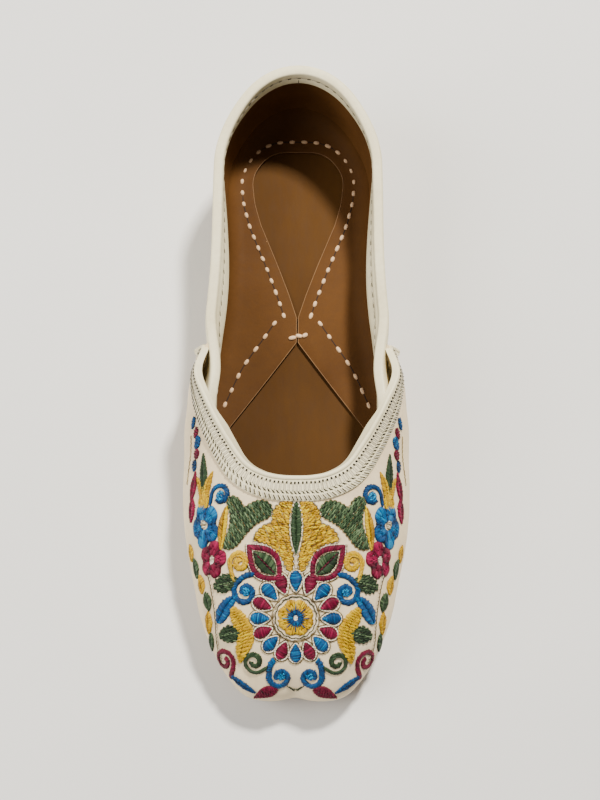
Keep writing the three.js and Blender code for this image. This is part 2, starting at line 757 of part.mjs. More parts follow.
// The throat binding: a rolled lip over the cut edges, with a band on the vamp
function throatBinding() {
  const deep = VAMP_WALL + PIECE_GAP + UPPER_WALL + PIECE_GAP;
  const shallow = VAMP_WALL + PIECE_GAP;
  const tipY = throatPoints[THROAT_STEPS].y;
  const bandTop = PIECE_GAP + BINDING_WALL;
  return throatFrames.map(frame => {
    const y = frame.p.y;
    const back = ease((y - alongY(LIP_SHALLOW_START)) / (LIP_SHALLOW_RUN * LAST_LENGTH));
    const depth = deep + (shallow - deep) * back;
    const taper = alongY(BAND_TAPER_START);
    const near = ease((y - taper) / (tipY - taper));
    const band = THROAT_BAND_WIDE + (THROAT_BAND_END - THROAT_BAND_WIDE) * near;
    const outline = [
      [LIP_WIDE * 0.75, -depth],
      [LIP_WIDE, PIECE_GAP],
      [LIP_WIDE + band / 3, PIECE_GAP],
      [LIP_WIDE + band * 2 / 3, PIECE_GAP],
      [LIP_WIDE + band, PIECE_GAP],
      [LIP_WIDE + band, bandTop],
      [LIP_WIDE + band * 2 / 3, bandTop],
      [LIP_WIDE + band / 3, bandTop],
      [LIP_WIDE, bandTop + LIP_CROWN / 2],
      [LIP_WIDE / 2, bandTop + LIP_CROWN],
      [LIP_WIDE / 8, bandTop - LIP_CROWN],
      [0, 0],
      [0, -depth],
    ];
    return {
      points: outline.map(([w, n]) => bandPoint(frame, vampOuter, w, n)),
      flat: outline.map(([w, n]) => new THREE.Vector2(w, n)),
    };
  });
}

// The topline binding: a folded band over the quarters' edge, round the heel
function toplineBinding() {
  const from = sideStation(alongY(TOPLINE_FRONT));
  const stations = [from].concat(sideStations().filter(g => g > from + CLEAR_STEP));
  const outerSide = stations.map(quarterEdge);
  const innerSide = outerSide.map(p => acrossWall(p, UPPER_WALL, upperOuter, skin(0)));
  const framesOf = (side, offset) => {
    const path = side.concat(side.slice(0, -1).reverse().map(mirrored));
    return edgeFrames(path, offset, () => new THREE.Vector3(0, 0, -1));
  };
  const faces = [
    { offset: upperOuter, frames: framesOf(outerSide, upperOuter), sign: 1, width: 0 },
    { offset: skin(0), frames: framesOf(innerSide, skin(0)), sign: -1, width: -UPPER_WALL },
  ];
  const near = FOLD_GAP;
  const far = FOLD_GAP + BINDING_WALL;
  const outline = [
    { face: 0, down: TOPLINE_OUTER_SKIRT, off: near },
    { face: 0, down: TOPLINE_OUTER_SKIRT, off: far },
    { face: 0, down: TOPLINE_OUTER_SKIRT / 2, off: far },
    { face: 0, down: 0, off: far },
    { face: 0, down: -far, off: far * 0.4 },
    { face: 1, down: -far, off: far * 0.4 },
    { face: 1, down: 0, off: far },
    { face: 1, down: TOPLINE_INNER_SKIRT / 2, off: far },
    { face: 1, down: TOPLINE_INNER_SKIRT, off: far },
    { face: 1, down: TOPLINE_INNER_SKIRT, off: near },
    { face: 1, down: TOPLINE_INNER_SKIRT / 2, off: near },
    { face: 1, down: -near, off: near },
    { face: 0, down: -near, off: near },
    { face: 0, down: TOPLINE_OUTER_SKIRT / 2, off: near },
  ];
  return faces[0].frames.map((_, k) => ({
    points: outline.map(({ face, down, off }) => {
      const { offset, frames, sign } = faces[face];
      const frame = frames[k];
      if (down > 0) return bandPoint(frame, offset, down, sign * off);
      const p = frame.p.clone().addScaledVector(frame.out, down);
      return p.addScaledVector(frame.normal, sign * off);
    }),
    flat: outline.map(({ face, down, off }) => (
      new THREE.Vector2(down, faces[face].width + faces[face].sign * off)
    )),
  }));
}

const leather = (color, roughness) => new THREE.MeshStandardMaterial({
  color, roughness, metalness: 0,
});
const shoe = new THREE.Group();
function addPiece(name, geometry, material) {
  const mesh = new THREE.Mesh(geometry, material);
  mesh.name = name;
  shoe.add(mesh);
}
addPiece('outsole', outsoleGeometry, leather(0xb58a58, 0.6));
addPiece('heel_lift', heelLiftGeometry, leather(0x8d6238, 0.6));
addPiece('insole', insoleGeometry, leather(0x6f4d2a, 0.65));
addPiece('upper', fromManifold(upperSolid), leather(0xded5bf, 0.55));
addPiece('vamp', fromManifold(vampSolid), leather(0xd6c3b0, 0.55));
addPiece('lining_flaps', sweptGeometry(flapSections()), leather(0x7d5730, 0.65));
addPiece('throat_binding', sweptGeometry(throatBinding()), leather(0xd9ccb6, 0.5));
addPiece('topline_binding', sweptGeometry(toplineBinding()), leather(0xe3dcc8, 0.5));

export default shoe;
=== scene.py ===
"""Looks of the mojari: leather upper, embroidered vamp, stitched bindings and lining.

Lengths are millimetres, and meshes go to metres as they are made. The floor, the lights and
the camera are in metres.
Toe towards -Y, heel towards +Y, +Z up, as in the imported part.
"""
import math

import bmesh
import bpy
import numpy as np
from mathutils import Matrix, Vector


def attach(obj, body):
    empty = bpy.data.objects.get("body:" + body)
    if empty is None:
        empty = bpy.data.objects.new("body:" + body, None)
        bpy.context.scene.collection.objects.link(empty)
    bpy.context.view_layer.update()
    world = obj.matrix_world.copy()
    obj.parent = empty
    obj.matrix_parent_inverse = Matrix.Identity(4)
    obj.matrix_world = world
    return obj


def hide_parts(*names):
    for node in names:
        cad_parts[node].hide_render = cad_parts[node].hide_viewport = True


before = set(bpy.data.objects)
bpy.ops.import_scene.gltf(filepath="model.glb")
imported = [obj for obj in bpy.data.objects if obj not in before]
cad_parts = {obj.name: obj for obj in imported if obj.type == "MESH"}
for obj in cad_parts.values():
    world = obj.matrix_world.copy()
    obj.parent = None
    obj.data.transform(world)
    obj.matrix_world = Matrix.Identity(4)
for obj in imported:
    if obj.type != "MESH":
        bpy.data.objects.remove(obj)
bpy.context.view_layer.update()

MM = 0.001

# The last's form
LAST_LENGTH = 244.8
BALL = 83.2
HEEL = 59.6
TOE_HEIGHT = 16.0
THROAT_HEIGHT = 41.0
HEEL_HEIGHT = 45.5
UPPER_WALL = 1.8
VAMP_WALL = 1.3
BINDING_WALL = 0.7
OUTSOLE_THICK = 3.5
PIECE_GAP = 0.3
FOLD_GAP = 0.45
VAMP_INNER = UPPER_WALL + PIECE_GAP
VAMP_OUTER = VAMP_INNER + VAMP_WALL
EAR_STAND = FOLD_GAP + BINDING_WALL + PIECE_GAP
EAR_FLARE = 1.2
EAR_LEAN = 4.6
EAR_LEAN_START = -6.0
QUARTER_LEAN = 3.3
QUARTER_LEAN_REAR = 25.0
QUARTER_LEAN_FRONT = -16.0
LEAN_LOW = 16.0
LEAN_HIGH = 34.0
MIDDLE_Y = (VAMP_OUTER - UPPER_WALL) / 2
LOWER_SHARE = 0.30
LIP_WIDE = 1.6
LIP_BACK = 1.0
ARCH_RISE = 5.5
TOE_SPRING = 2.5
TOE_DENT = 1.7
TOE_FULL = 0.9
TOE_FULL_AT = 17.0
BAND_WIDE = 8.0
BAND_AT_EARS = 3.2
INNER_BAND = 6.0


def along(share):
    return MIDDLE_Y + share * LAST_LENGTH


# Ribs: where (a turn round the toe or heel, or a share along), the width and height that they
# go by, then their shares for foot, belly and upright, and their squareness
RIBS = [
    ("turn", 0, BALL, THROAT_HEIGHT, 0.415, 0.440, 0.117, 2.6),
    ("turn", 28, BALL, THROAT_HEIGHT, 0.428, 0.454, 0.124, 2.6),
    ("turn", 58, BALL, THROAT_HEIGHT, 0.386, 0.417, 0.161, 2.5),
    ("turn", 90, BALL, THROAT_HEIGHT, 0.388, 0.428, 0.202, 2.4),
    ("along", -0.2565, BALL, THROAT_HEIGHT, 0.433, 0.483, 0.232, 2.4),
    ("along", -0.1585, BALL, THROAT_HEIGHT, 0.442, 0.500, 0.256, 2.4),
    ("along", -0.0605, BALL, THROAT_HEIGHT, 0.421, 0.476, 0.280, 2.4),
    ("along", 0.0376, BALL, THROAT_HEIGHT, 0.373, 0.428, 0.380, 2.9),
    ("along", 0.1397, HEEL, HEEL_HEIGHT, 0.458, 0.539, 0.624, 2.9),
    ("along", 0.2337, HEEL, HEEL_HEIGHT, 0.446, 0.522, 0.725, 2.9),
    ("heel", 0, HEEL, HEEL_HEIGHT, 0.462, 0.521, 0.505, 2.7),
    ("heel", 45, HEEL, HEEL_HEIGHT, 0.492, 0.550, 0.374, 2.6),
    ("heel", 90, HEEL, HEEL_HEIGHT, 0.574, 0.658, 0.330, 2.25),
]
# The ridge's height, the topline's, and the throat's, ear's top and ear's rear edge, each at
# shares along the shoe
RIDGE = [
    (-0.514, TOE_HEIGHT * 1.00), (-0.461, TOE_HEIGHT * 1.25),
    (-0.404, THROAT_HEIGHT * 0.618), (-0.350, THROAT_HEIGHT * 0.727),
    (-0.269, THROAT_HEIGHT * 0.878), (-0.179, THROAT_HEIGHT * 1.00),
    (-0.061, THROAT_HEIGHT * 1.171), (0.078, HEEL_HEIGHT * 1.284),
    (0.242, HEEL_HEIGHT * 1.560), (0.405, HEEL_HEIGHT * 1.824),
    (0.511, HEEL_HEIGHT * 1.912),
]
TOPLINE = [(-0.0605, 0.835), (0.017, 0.793), (0.119, 0.760), (0.234, 0.791),
           (0.340, 0.879), (0.426, 0.956), (0.495, 1.000)]
THROAT = [(-0.1789, 0.000), (-0.1773, 0.084), (-0.1716, 0.151), (-0.1569, 0.224),
          (-0.1197, 0.303), (-0.0719, 0.382), (-0.0376, 0.430)]
EAR_TOP = [(-0.0110, 0.878), (0.0131, 0.834), (0.0315, 0.783), (0.0400, 0.730)]
EAR_REAR = [(0.0425, 0.672), (0.0450, 0.615), (0.0482, 0.530), (0.0523, 0.340),
            (0.0580, 0.115), (0.0662, -0.100)]


def ease(t):
    c = np.clip(t, 0, 1)
    return c * c * (3 - 2 * c)


def level_curve(xs, ys):
    """A smooth curve through points, level at both ends."""
    xs = np.array(xs, float)
    ys = np.array(ys, float)
    n = len(xs)
    h = np.diff(xs)
    a = np.zeros((n, n))
    b = np.zeros(n)
    a[0, :2] = 2 * h[0], h[0]
    b[0] = 6 * (ys[1] - ys[0]) / h[0]
    for i in range(1, n - 1):
        a[i, i - 1:i + 2] = h[i - 1], 2 * (h[i - 1] + h[i]), h[i]
        b[i] = 6 * ((ys[i + 1] - ys[i]) / h[i] - (ys[i] - ys[i - 1]) / h[i - 1])
    a[-1, -2:] = h[-1], 2 * h[-1]
    b[-1] = -6 * (ys[-1] - ys[-2]) / h[-1]
    bend = np.linalg.solve(a, b)

    def at(x):
        c = np.clip(x, xs[0], xs[-1])
        i = np.clip(np.searchsorted(xs, c) - 1, 0, n - 2)
        p = c - xs[i]
        q = xs[i + 1] - c
        w = h[i]
        return ((bend[i] * q ** 3 + bend[i + 1] * p ** 3) / (6 * w)
                + (ys[i] / w - bend[i] * w / 6) * q
                + (ys[i + 1] / w - bend[i + 1] * w / 6) * p)
    return at


TOE_R = 0.440 * BALL
HEEL_R = 0.658 * HEEL
TOE_Y = along(-0.5) + TOE_R
HEEL_Y = along(0.5) - HEEL_R
TOE_SIDE = math.pi / 2 * TOE_R
HEEL_SIDE = TOE_SIDE + HEEL_Y - TOE_Y
END = HEEL_SIDE + math.pi / 2 * HEEL_R


def side_station(y):
    return TOE_SIDE + y - TOE_Y


def rib_station(kind, value):
    if kind == "turn":
        return math.radians(value) * TOE_R
    if kind == "along":
        return side_station(along(value))
    return HEEL_SIDE + math.radians(value) * HEEL_R


def toe_drawn(curve):
    """A radius along the ribs, drawn in at the toe's middle and fuller at its two corners."""
    def at(g):
        middle = TOE_DENT * np.exp(-(g / 6.5) ** 2)
        corner = TOE_FULL * np.exp(-((g - TOE_FULL_AT) / 6) ** 2)
        return curve(g) - (middle - corner)
    return at


STATIONS = [rib_station(r[0], r[1]) for r in RIBS]
foot_at = toe_drawn(level_curve(STATIONS, [r[4] * r[2] for r in RIBS]))
belly_at = toe_drawn(level_curve(STATIONS, [r[5] * r[2] for r in RIBS]))
up_at = level_curve(STATIONS, [r[6] * r[3] for r in RIBS])
box_at = level_curve(STATIONS, [r[7] for r in RIBS])
ridge_at = level_curve([along(a) for a, _ in RIDGE], [h for _, h in RIDGE])
topline_at = level_curve([along(a) for a, _ in TOPLINE],
                         [h * HEEL_HEIGHT for _, h in TOPLINE])


def sole_top(y):
    arch = ease((y - along(-0.0237)) / (0.245 * LAST_LENGTH))
    toe = np.clip((along(-0.2892) - y) / (0.2247 * LAST_LENGTH), 0, 1)
    return OUTSOLE_THICK + ARCH_RISE * arch + TOE_SPRING * toe * toe


def rib_frame(g):
    g = np.asarray(g, float)
    toe = np.clip(g / TOE_R, 0, math.pi / 2)
    heel = np.clip((g - HEEL_SIDE) / HEEL_R, 0, math.pi / 2)
    cy = np.clip(TOE_Y + g - TOE_SIDE, TOE_Y, HEEL_Y)
    dx = np.where(g < TOE_SIDE, np.sin(toe), np.cos(heel))
    dy = np.where(g < TOE_SIDE, -np.cos(toe), np.sin(heel))
    return cy, dx, dy


def ear_stand(y):
    stand = ease((y - along(-0.145)) / (0.080 * LAST_LENGTH))
    flare = ease((y - along(-0.065)) / (0.090 * LAST_LENGTH))
    return EAR_STAND * stand + EAR_FLARE * flare


class Skin:
    """The last's surface set out by a size; the vamp's skins also lift towards the ears."""

    def __init__(self, size, stand=False):
        self.size = size
        self.stand = stand

    def out(self, y, rise=1.0):
        return self.size + (ear_stand(y) * rise if self.stand else 0.0)

    def point(self, g, v):
        g, v = np.broadcast_arrays(np.asarray(g, float), np.asarray(v, float))
        cy, dx, dy = rib_frame(g)
        foot, belly, up, box = foot_at(g), belly_at(g), up_at(g), box_at(g)
        rise = np.clip(v / LOWER_SHARE, 0, 1)
        low_r = foot + (belly - foot) * (1 - (1 - rise) ** 2) + self.out(cy + dy * belly, rise)
        low_y = cy + dy * low_r
        low_z = sole_top(low_y) + PIECE_GAP + (up - PIECE_GAP) * rise
        t = np.clip((v - LOWER_SHARE) / (1 - LOWER_SHARE), 0, 1) * math.pi / 2
        shrink = np.where(v >= 1, 0, np.clip(np.cos(t), 0, 1) ** (2 / box))
        climb = np.sin(t) ** (2 / box)
        out = self.out(cy + dy * belly * shrink)
        r = (belly + out) * shrink
        y = cy + dy * r
        z = sole_top(y) + up * (1 - climb) + (ridge_at(y) + out) * climb
        low = v < LOWER_SHARE
        return np.stack([dx * np.where(low, low_r, r), np.where(low, low_y, y),
                         np.where(low, low_z, z)], -1)

    def parts(self, p):
        x = np.abs(p[..., 0])
        y = p[..., 1]
        cy = np.clip(y, TOE_Y, HEEL_Y)
        r = np.hypot(x, y - cy)
        g = side_station(cy)
        g = np.where(y < TOE_Y, np.arctan2(x, TOE_Y - y) * TOE_R, g)
        g = np.where(y > HEEL_Y, HEEL_SIDE + np.arctan2(y - HEEL_Y, x) * HEEL_R, g)
        out = self.out(y)
        up = up_at(g)
        climb = np.clip((p[..., 2] - sole_top(y) - up) / (ridge_at(y) + out - up), 0, None)
        return g, r / (belly_at(g) + out), climb, box_at(g)

    def level(self, p):
        _, r, climb, box = self.parts(p)
        return r ** box + climb ** box - 1

    def address(self, p):
        """The rib station and height share of a point on the upper part of the skin."""
        g, r, climb, box = self.parts(p)
        t = np.arctan2(climb ** (box / 2), r ** (box / 2))
        return g, LOWER_SHARE + (1 - LOWER_SHARE) * t / (math.pi / 2)

    def slope(self, p):
        e = 0.01
        s = np.empty(p.shape)
        for i in range(3):
            d = np.zeros(3)
            d[i] = e
            s[..., i] = (self.level(p + d) - self.level(p - d)) / (2 * e)
        return s

    def normal(self, p):
        return unit(self.slope(p))

    def onto(self, p):
        q = np.array(p, float)
        for _ in range(6):
            s = self.slope(q)
            q = q - s * (self.level(q) / np.maximum((s * s).sum(-1), 1e-12))[..., None]
        return q

    def side(self, y):
        """A side rib's half width, its upright's top, its climb to the ridge and squareness."""
        g = side_station(y)
        out = self.out(y)
        up = up_at(g)
        return belly_at(g) + out, sole_top(y) + up, ridge_at(y) + out - up, box_at(g)

    def height(self, x, y):
        wide, low, climb, box = self.side(y)
        return low + climb * (1 - (np.abs(x) / wide) ** box) ** (1 / box)

    def half_width(self, y, z):
        wide, low, climb, box = self.side(y)
        return wide * (1 - np.clip((z - low) / climb, 0, None) ** box) ** (1 / box)


def moved_in(p, amount):
    """Points moved in towards the middle line, the more the higher they lie."""
    q = np.array(p, float)
    high = ease((q[..., 2] - LEAN_LOW) / (LEAN_HIGH - LEAN_LOW))
    q[..., 0] -= np.sign(q[..., 0]) * amount * high
    return q


def leaned(p):
    """The tops of the vamp's ears lean in until they touch the quarters."""
    y = np.asarray(p)[..., 1]
    back = ease((y - EAR_LEAN_START) / (along(EAR_TOP[-1][0]) + 1.0 - EAR_LEAN_START)) ** 1.5
    return moved_in(p, EAR_LEAN * back)


def tuck(y):
    """How far the quarters' tops lean in under the ears."""
    return QUARTER_LEAN * ease((QUARTER_LEAN_REAR - y) / 22) * ease((y - QUARTER_LEAN_FRONT) / 18)


def tucked(p):
    return moved_in(p, tuck(np.asarray(p)[..., 1]))


def unit(v):
    return v / np.maximum(np.linalg.norm(v, axis=-1, keepdims=True), 1e-12)


def with_mirror(half):
    """A path from a right half that ends on the middle line, carried on round the left."""
    return np.vstack([half, half[-2::-1] * np.array([-1.0, 1, 1])])


vamp_skin = Skin(VAMP_OUTER, stand=True)
vamp_back = Skin(VAMP_INNER, stand=True)
upper_skin = Skin(UPPER_WALL)
lining_skin = Skin(0.0)


# Edges and frames
def spaced(knots, count):
    """A centripetal Catmull-Rom line through knots, at equal steps."""
    knots = np.array(knots, float)
    ends = np.vstack([2 * knots[0] - knots[1], knots, 2 * knots[-1] - knots[-2]])
    fine = []
    for i in range(1, len(ends) - 2):
        p = ends[i - 1:i + 3]
        d = np.maximum(np.linalg.norm(np.diff(p, axis=0), axis=1) ** 0.5, 1e-6)
        t = np.concatenate([[0], np.cumsum(d)])
        u = np.linspace(t[1], t[2], 24, endpoint=False)[:, None]
        a = [((t[k + 1] - u) * p[k] + (u - t[k]) * p[k + 1]) / d[k] for k in range(3)]
        b = [((t[k + 2] - u) * a[k] + (u - t[k]) * a[k + 1]) / (t[k + 2] - t[k])
             for k in range(2)]
        fine.append(((t[2] - u) * b[0] + (u - t[1]) * b[1]) / (t[2] - t[1]))
    return evenly(np.vstack(fine + [knots[-1:]]), count)


def runs(line):
    """The distance run along a line up to each of its points."""
    return np.concatenate([[0], np.cumsum(np.linalg.norm(np.diff(line, axis=0), axis=1))])


def evenly(line, count):
    line = np.asarray(line, float)
    run = runs(line)
    s = np.linspace(0, run[-1], count)
    return np.stack([np.interp(s, run, line[:, i]) for i in range(line.shape[1])], -1)


def length_of(line):
    return np.linalg.norm(np.diff(line, axis=0), axis=1).sum()


class Edge:
    """An edge of a skin, to place things at a distance from it; away tells which side is off."""

    def __init__(self, points, surface, away):
        self.p = points
        self.surface = surface
        self.normal = surface.normal(points)
        out = unit(np.cross(unit(np.gradient(points, axis=0)), self.normal))
        turn = np.where((out * away(points)).sum(-1) < 0, -1.0, 1.0)
        self.out = out * turn[:, None]
        self.run = runs(points)

    def sample(self, s):
        """The edge's point, normal and way off the edge at a run s."""
        def at(a):
            return np.stack([np.interp(s, self.run, a[:, i]) for i in range(3)], -1)
        return at(self.p), unit(at(self.normal)), unit(at(self.out))

    def band(self, s, distance, over):
        """Points at a run s along the edge, a distance from it along the skin, and over it."""
        s, distance, over = np.broadcast_arrays(*[np.asarray(a, float) for a in (s, distance, over)])
        p, normal, out = self.sample(s.ravel())
        d = distance.ravel()[:, None]
        steps = max(1, int(math.ceil(np.abs(distance).max() / 2)))
        for _ in range(steps):
            run = unit(out - normal * (out * normal).sum(-1, keepdims=True))
            p = self.surface.onto(p + run * d / steps)
            normal = self.surface.normal(p)
        return (p + normal * over.ravel()[:, None]).reshape(s.shape + (3,))


THROAT_POINTS = 461
throat_half = THROAT_POINTS // 2


def throat_path():
    """The throat's edge from the left ear's foot round to the right one's."""
    knots = [(o * BALL, along(a), vamp_skin.height(o * BALL, along(a))) for a, o in THROAT]
    for back, places in ((0.0, EAR_TOP), (LIP_BACK, EAR_REAR[1:4])):
        for a, h in places:
            y = along(a) + back
            z = sole_top(along(a)) + h * HEEL_HEIGHT
            knots.append((vamp_skin.half_width(y, z), y, z))
    path = vamp_skin.onto(spaced(with_mirror(np.array(knots)[::-1])[::-1], THROAT_POINTS))
    path[throat_half, 0] = 0.0
    return path


def from_throat(p):
    return np.stack([p[:, 0], np.minimum(0, p[:, 1] - along(-0.0719)), -np.abs(p[:, 0]) / 2], -1)


throat = Edge(throat_path(), vamp_skin, from_throat)
ear_tip = throat_half + int(np.argmax(throat.p[throat_half:, 1] > along(EAR_TOP[-1][0]) - 2.0))
leather_edge = throat.band(throat.run[throat_half:ear_tip], LIP_WIDE + 0.8, 0.0)
leather_edge[0, 0] = 0.0


# Meshes
def clip(layers, tris, s):
    """Keeps the part of a triangle net where s is above zero."""
    s = np.where(np.abs(s) < 1e-5, 1e-5, s)
    keep = s > 0
    count = keep[tris].sum(1)
    done = [tris[count == 3]]
    cuts = {}
    ends = []

    def cut(a, b):
        key = (min(a, b), max(a, b))
        if key not in cuts:
            cuts[key] = len(s) + len(ends)
            ends.append(key)
        return cuts[key]

    new = []
    for tri in tris[(count == 1) | (count == 2)]:
        inside = keep[tri]
        lone = inside.sum() == 1
        i = int(np.argmax(inside if lone else ~inside))
        a, b, c = (int(tri[(i + k) % 3]) for k in range(3))
        ab, ac = cut(a, b), cut(a, c)
        if lone:
            new.append((a, ab, ac))
        else:
            new += [(ab, b, c), (ab, c, ac)]
    if new:
        done.append(np.array(new))
    if ends:
        e = np.array(ends)
        t = (s[e[:, 0]] / (s[e[:, 0]] - s[e[:, 1]]))[:, None]
        layers = [np.vstack([a, a[e[:, 0]] * (1 - t) + a[e[:, 1]] * t]) for a in layers]
    return layers, np.vstack(done)


def open_edges(tris):
    edges = np.vstack([tris[:, [0, 1]], tris[:, [1, 2]], tris[:, [2, 0]]])
    n = int(tris.max()) + 1
    key = edges[:, 0] * n + edges[:, 1]
    back = edges[:, 1] * n + edges[:, 0]
    return edges[~np.isin(key, back)]


def grid_tris(rows, columns, closed=False):
    i, j = np.meshgrid(np.arange(rows - 1), np.arange(columns if closed else columns - 1),
                       indexing="ij")
    a = (i * columns + j).ravel()
    b = (i * columns + (j + 1) % columns).ravel()
    return np.vstack([np.stack([a, b, b + columns], -1), np.stack([a, b + columns, a + columns], -1)])


def placed(name, data):
    """A new object in the scene."""
    obj = bpy.data.objects.new(name, data)
    bpy.context.scene.collection.objects.link(obj)
    return obj


def make_object(name, points, faces, weld=True, sharp=None):
    """A smooth mesh object, welded, with edges over an angle in degrees kept sharp."""
    mesh = bpy.data.meshes.new(name)
    mesh.from_pydata((np.asarray(points) * MM).tolist(), [], [list(map(int, f)) for f in faces])
    if weld:
        bm = bmesh.new()
        bm.from_mesh(mesh)
        bmesh.ops.remove_doubles(bm, verts=bm.verts, dist=2e-6)
        bmesh.ops.dissolve_degenerate(bm, dist=1e-7, edges=bm.edges)
        loose = [v for v in bm.verts if not v.link_faces]
        bmesh.ops.delete(bm, geom=loose, context="VERTS")
        bmesh.ops.recalc_face_normals(bm, faces=bm.faces)
        bm.to_mesh(mesh)
        bm.free()
    mesh.polygons.foreach_set("use_smooth", [True] * len(mesh.polygons))
    if sharp:
        mesh.set_sharp_from_angle(angle=math.radians(sharp))
    mesh.update()
    return placed(name, mesh)


def shell(name, outer, inner, tris, left=None):
    """A closed wall from the right side's faces and its mirror image, or a left outer face."""
    n = len(outer)
    edges = open_edges(tris)
    middle = np.abs(outer[:, 0]) < 1e-6
    edges = edges[~(middle[edges[:, 0]] & middle[edges[:, 1]])]
    walls = np.vstack([np.stack([edges[:, 1], edges[:, 0], edges[:, 0] + n], -1),
                       np.stack([edges[:, 1], edges[:, 0] + n, edges[:, 1] + n], -1)])
    side = np.vstack([tris, tris[:, ::-1] + n, walls])
    points = np.vstack([outer, inner])
    other = points * np.array([-1.0, 1, 1])
    if left is not None:
        other[:n] = left
    faces = np.vstack([side, side[:, ::-1] + len(points)])
    return make_object(name, np.vstack([points, other]), faces, sharp=40)


def loft(name, sections, caps=True, sharp=35):
    """A solid through sections: an array (count, points, 3) of closed outlines."""
    rows, columns = sections.shape[:2]
    faces = [tuple(f) for f in grid_tris(rows, columns, closed=True)]
    if caps:
        faces.append(tuple(range(columns))[::-1])
        faces.append(tuple((rows - 1) * columns + i for i in range(columns)))
    return make_object(name, sections.reshape(-1, 3), faces, sharp=sharp)


# Girth table: distance from the ridge along a rib, against the height share
GIRTH_POWER = 1.4
GIRTH_V = 1 - np.linspace(0, 1, 500) ** GIRTH_POWER
GIRTH_G = np.concatenate([np.linspace(0, TOE_SIDE, 60, endpoint=False),
                          np.linspace(TOE_SIDE, side_station(along(0.09)), 120)])
rib_points = vamp_skin.point(GIRTH_G[:, None], GIRTH_V[None])
GIRTH = np.concatenate([np.zeros((len(GIRTH_G), 1)),
                        np.cumsum(np.linalg.norm(np.diff(rib_points, axis=1), axis=2), 1)], 1)


def girth_of(g, v):
    """The distance from the ridge along the rib for stations and height shares."""
    g, v = np.broadcast_arrays(np.asarray(g, float), np.asarray(v, float))
    u = np.clip(1 - v, 0, 1) ** (1 / GIRTH_POWER) * (len(GIRTH_V) - 1)
    k = np.interp(g, GIRTH_G, np.arange(len(GIRTH_G)))
    return bilinear(GIRTH, k, u)


def bilinear(table, k, u):
    i = np.clip(k.astype(int), 0, table.shape[0] - 2)
    j = np.clip(u.astype(int), 0, table.shape[1] - 2)
    a = np.clip(k - i, 0, 1)
    b = np.clip(u - j, 0, 1)
    return ((table[i, j] * (1 - b) + table[i, j + 1] * b) * (1 - a)
            + (table[i + 1, j] * (1 - b) + table[i + 1, j + 1] * b) * a)


# The same table the other way round: the height share at a distance from the ridge
SHARE_POWER = 1.2
SHARE_REACH = 84
SHARE_B = np.linspace(0, 1, 400) ** SHARE_POWER * SHARE_REACH
SHARE = np.stack([np.interp(SHARE_B, GIRTH[i], GIRTH_V) for i in range(len(GIRTH_G))])


def flat_of(g, v):
    """The vamp laid flat: across and along, from the ridge and the toe fan's centre."""
    b = girth_of(g, v)
    turn = np.clip(g / TOE_R, 0, math.pi / 2)
    toe = g < TOE_SIDE
    x = np.where(toe, b * np.sin(turn), b)
    y = np.where(toe, TOE_Y - b * np.cos(turn), TOE_Y + g - TOE_SIDE)
    return x, y


def on_vamp(x, y):
    """The place on the vamp's creased leather of points of the flat chart, and its normal."""
    ax = np.abs(x)
    toe = y < TOE_Y
    b = np.where(toe, np.hypot(ax, TOE_Y - y), ax)
    g = np.where(toe, np.arctan2(ax, np.maximum(TOE_Y - y, 1e-9)) * TOE_R, side_station(y))
    k = np.interp(g, GIRTH_G, np.arange(len(GIRTH_G)))
    u = np.clip(b / SHARE_REACH, 0, 1) ** (1 / SHARE_POWER) * (len(SHARE_B) - 1)
    p = vamp_skin.point(g, bilinear(SHARE, k, u))
    n = vamp_skin.normal(p)
    p = p + n * relief(x, y)[..., None]
    side = np.where(x < 0, -1, 1)
    p[..., 0] *= side
    n[..., 0] *= side
    return p, n


def side_net(step_g, rows_low, rows_high, last=END):
    """Stations and height shares for one side of a shell, with its triangles."""
    fan = int(TOE_SIDE / step_g)
    side = int((HEEL_Y - TOE_Y) / step_g)
    heel = int((END - HEEL_SIDE) / step_g)
    g = np.concatenate([np.linspace(0, TOE_SIDE, fan, endpoint=False),
                        np.linspace(TOE_SIDE, HEEL_SIDE, side, endpoint=False),
                        np.linspace(HEEL_SIDE, END, heel + 1)])
    g = g[g <= last]
    low = np.linspace(0, LOWER_SHARE, rows_low, endpoint=False)
    high = LOWER_SHARE + (1 - LOWER_SHARE) * np.linspace(0, 1, rows_high)
    v = np.concatenate([low, high])
    gg, vv = np.meshgrid(g, v)
    return gg.ravel(), vv.ravel(), grid_tris(len(v), len(g))


def distance_to_line(x, y, line):
    best = np.full(x.shape, 1e9)
    for (ax, ay), (bx, by) in zip(line[:-1], line[1:]):
        dx, dy = bx - ax, by - ay
        t = np.clip(((x - ax) * dx + (y - ay) * dy) / (dx * dx + dy * dy + 1e-12), 0, 1)
        best = np.minimum(best, (x - ax - t * dx) ** 2 + (y - ay - t * dy) ** 2)
    return np.sqrt(best)


# The leather's throat edge in the flat chart, carried on past the ear tip
edge_x, edge_y = flat_of(*vamp_skin.address(leather_edge))
edge_flat = np.stack([edge_x, edge_y], -1)[::4]
edge_flat = np.vstack([edge_flat, [edge_flat[-1, 0] + 6, 40.0]])


def throat_level(g, v):
    x, y = flat_of(g, v)
    d = distance_to_line(x, y, edge_flat)
    open_x = np.interp(y, edge_flat[:, 1], edge_flat[:, 0])
    inside = (y > edge_flat[0, 1]) & (x < open_x)
    return np.where(inside, -d, d)


def ear_rear_level(p):
    z = p[:, 2] - sole_top(p[:, 1])
    rear_z = np.array([h for _, h in EAR_REAR])[::-1] * HEEL_HEIGHT
    rear_y = np.array([along(a) for a, _ in EAR_REAR])[::-1]
    return np.interp(z, rear_z, rear_y) - p[:, 1]


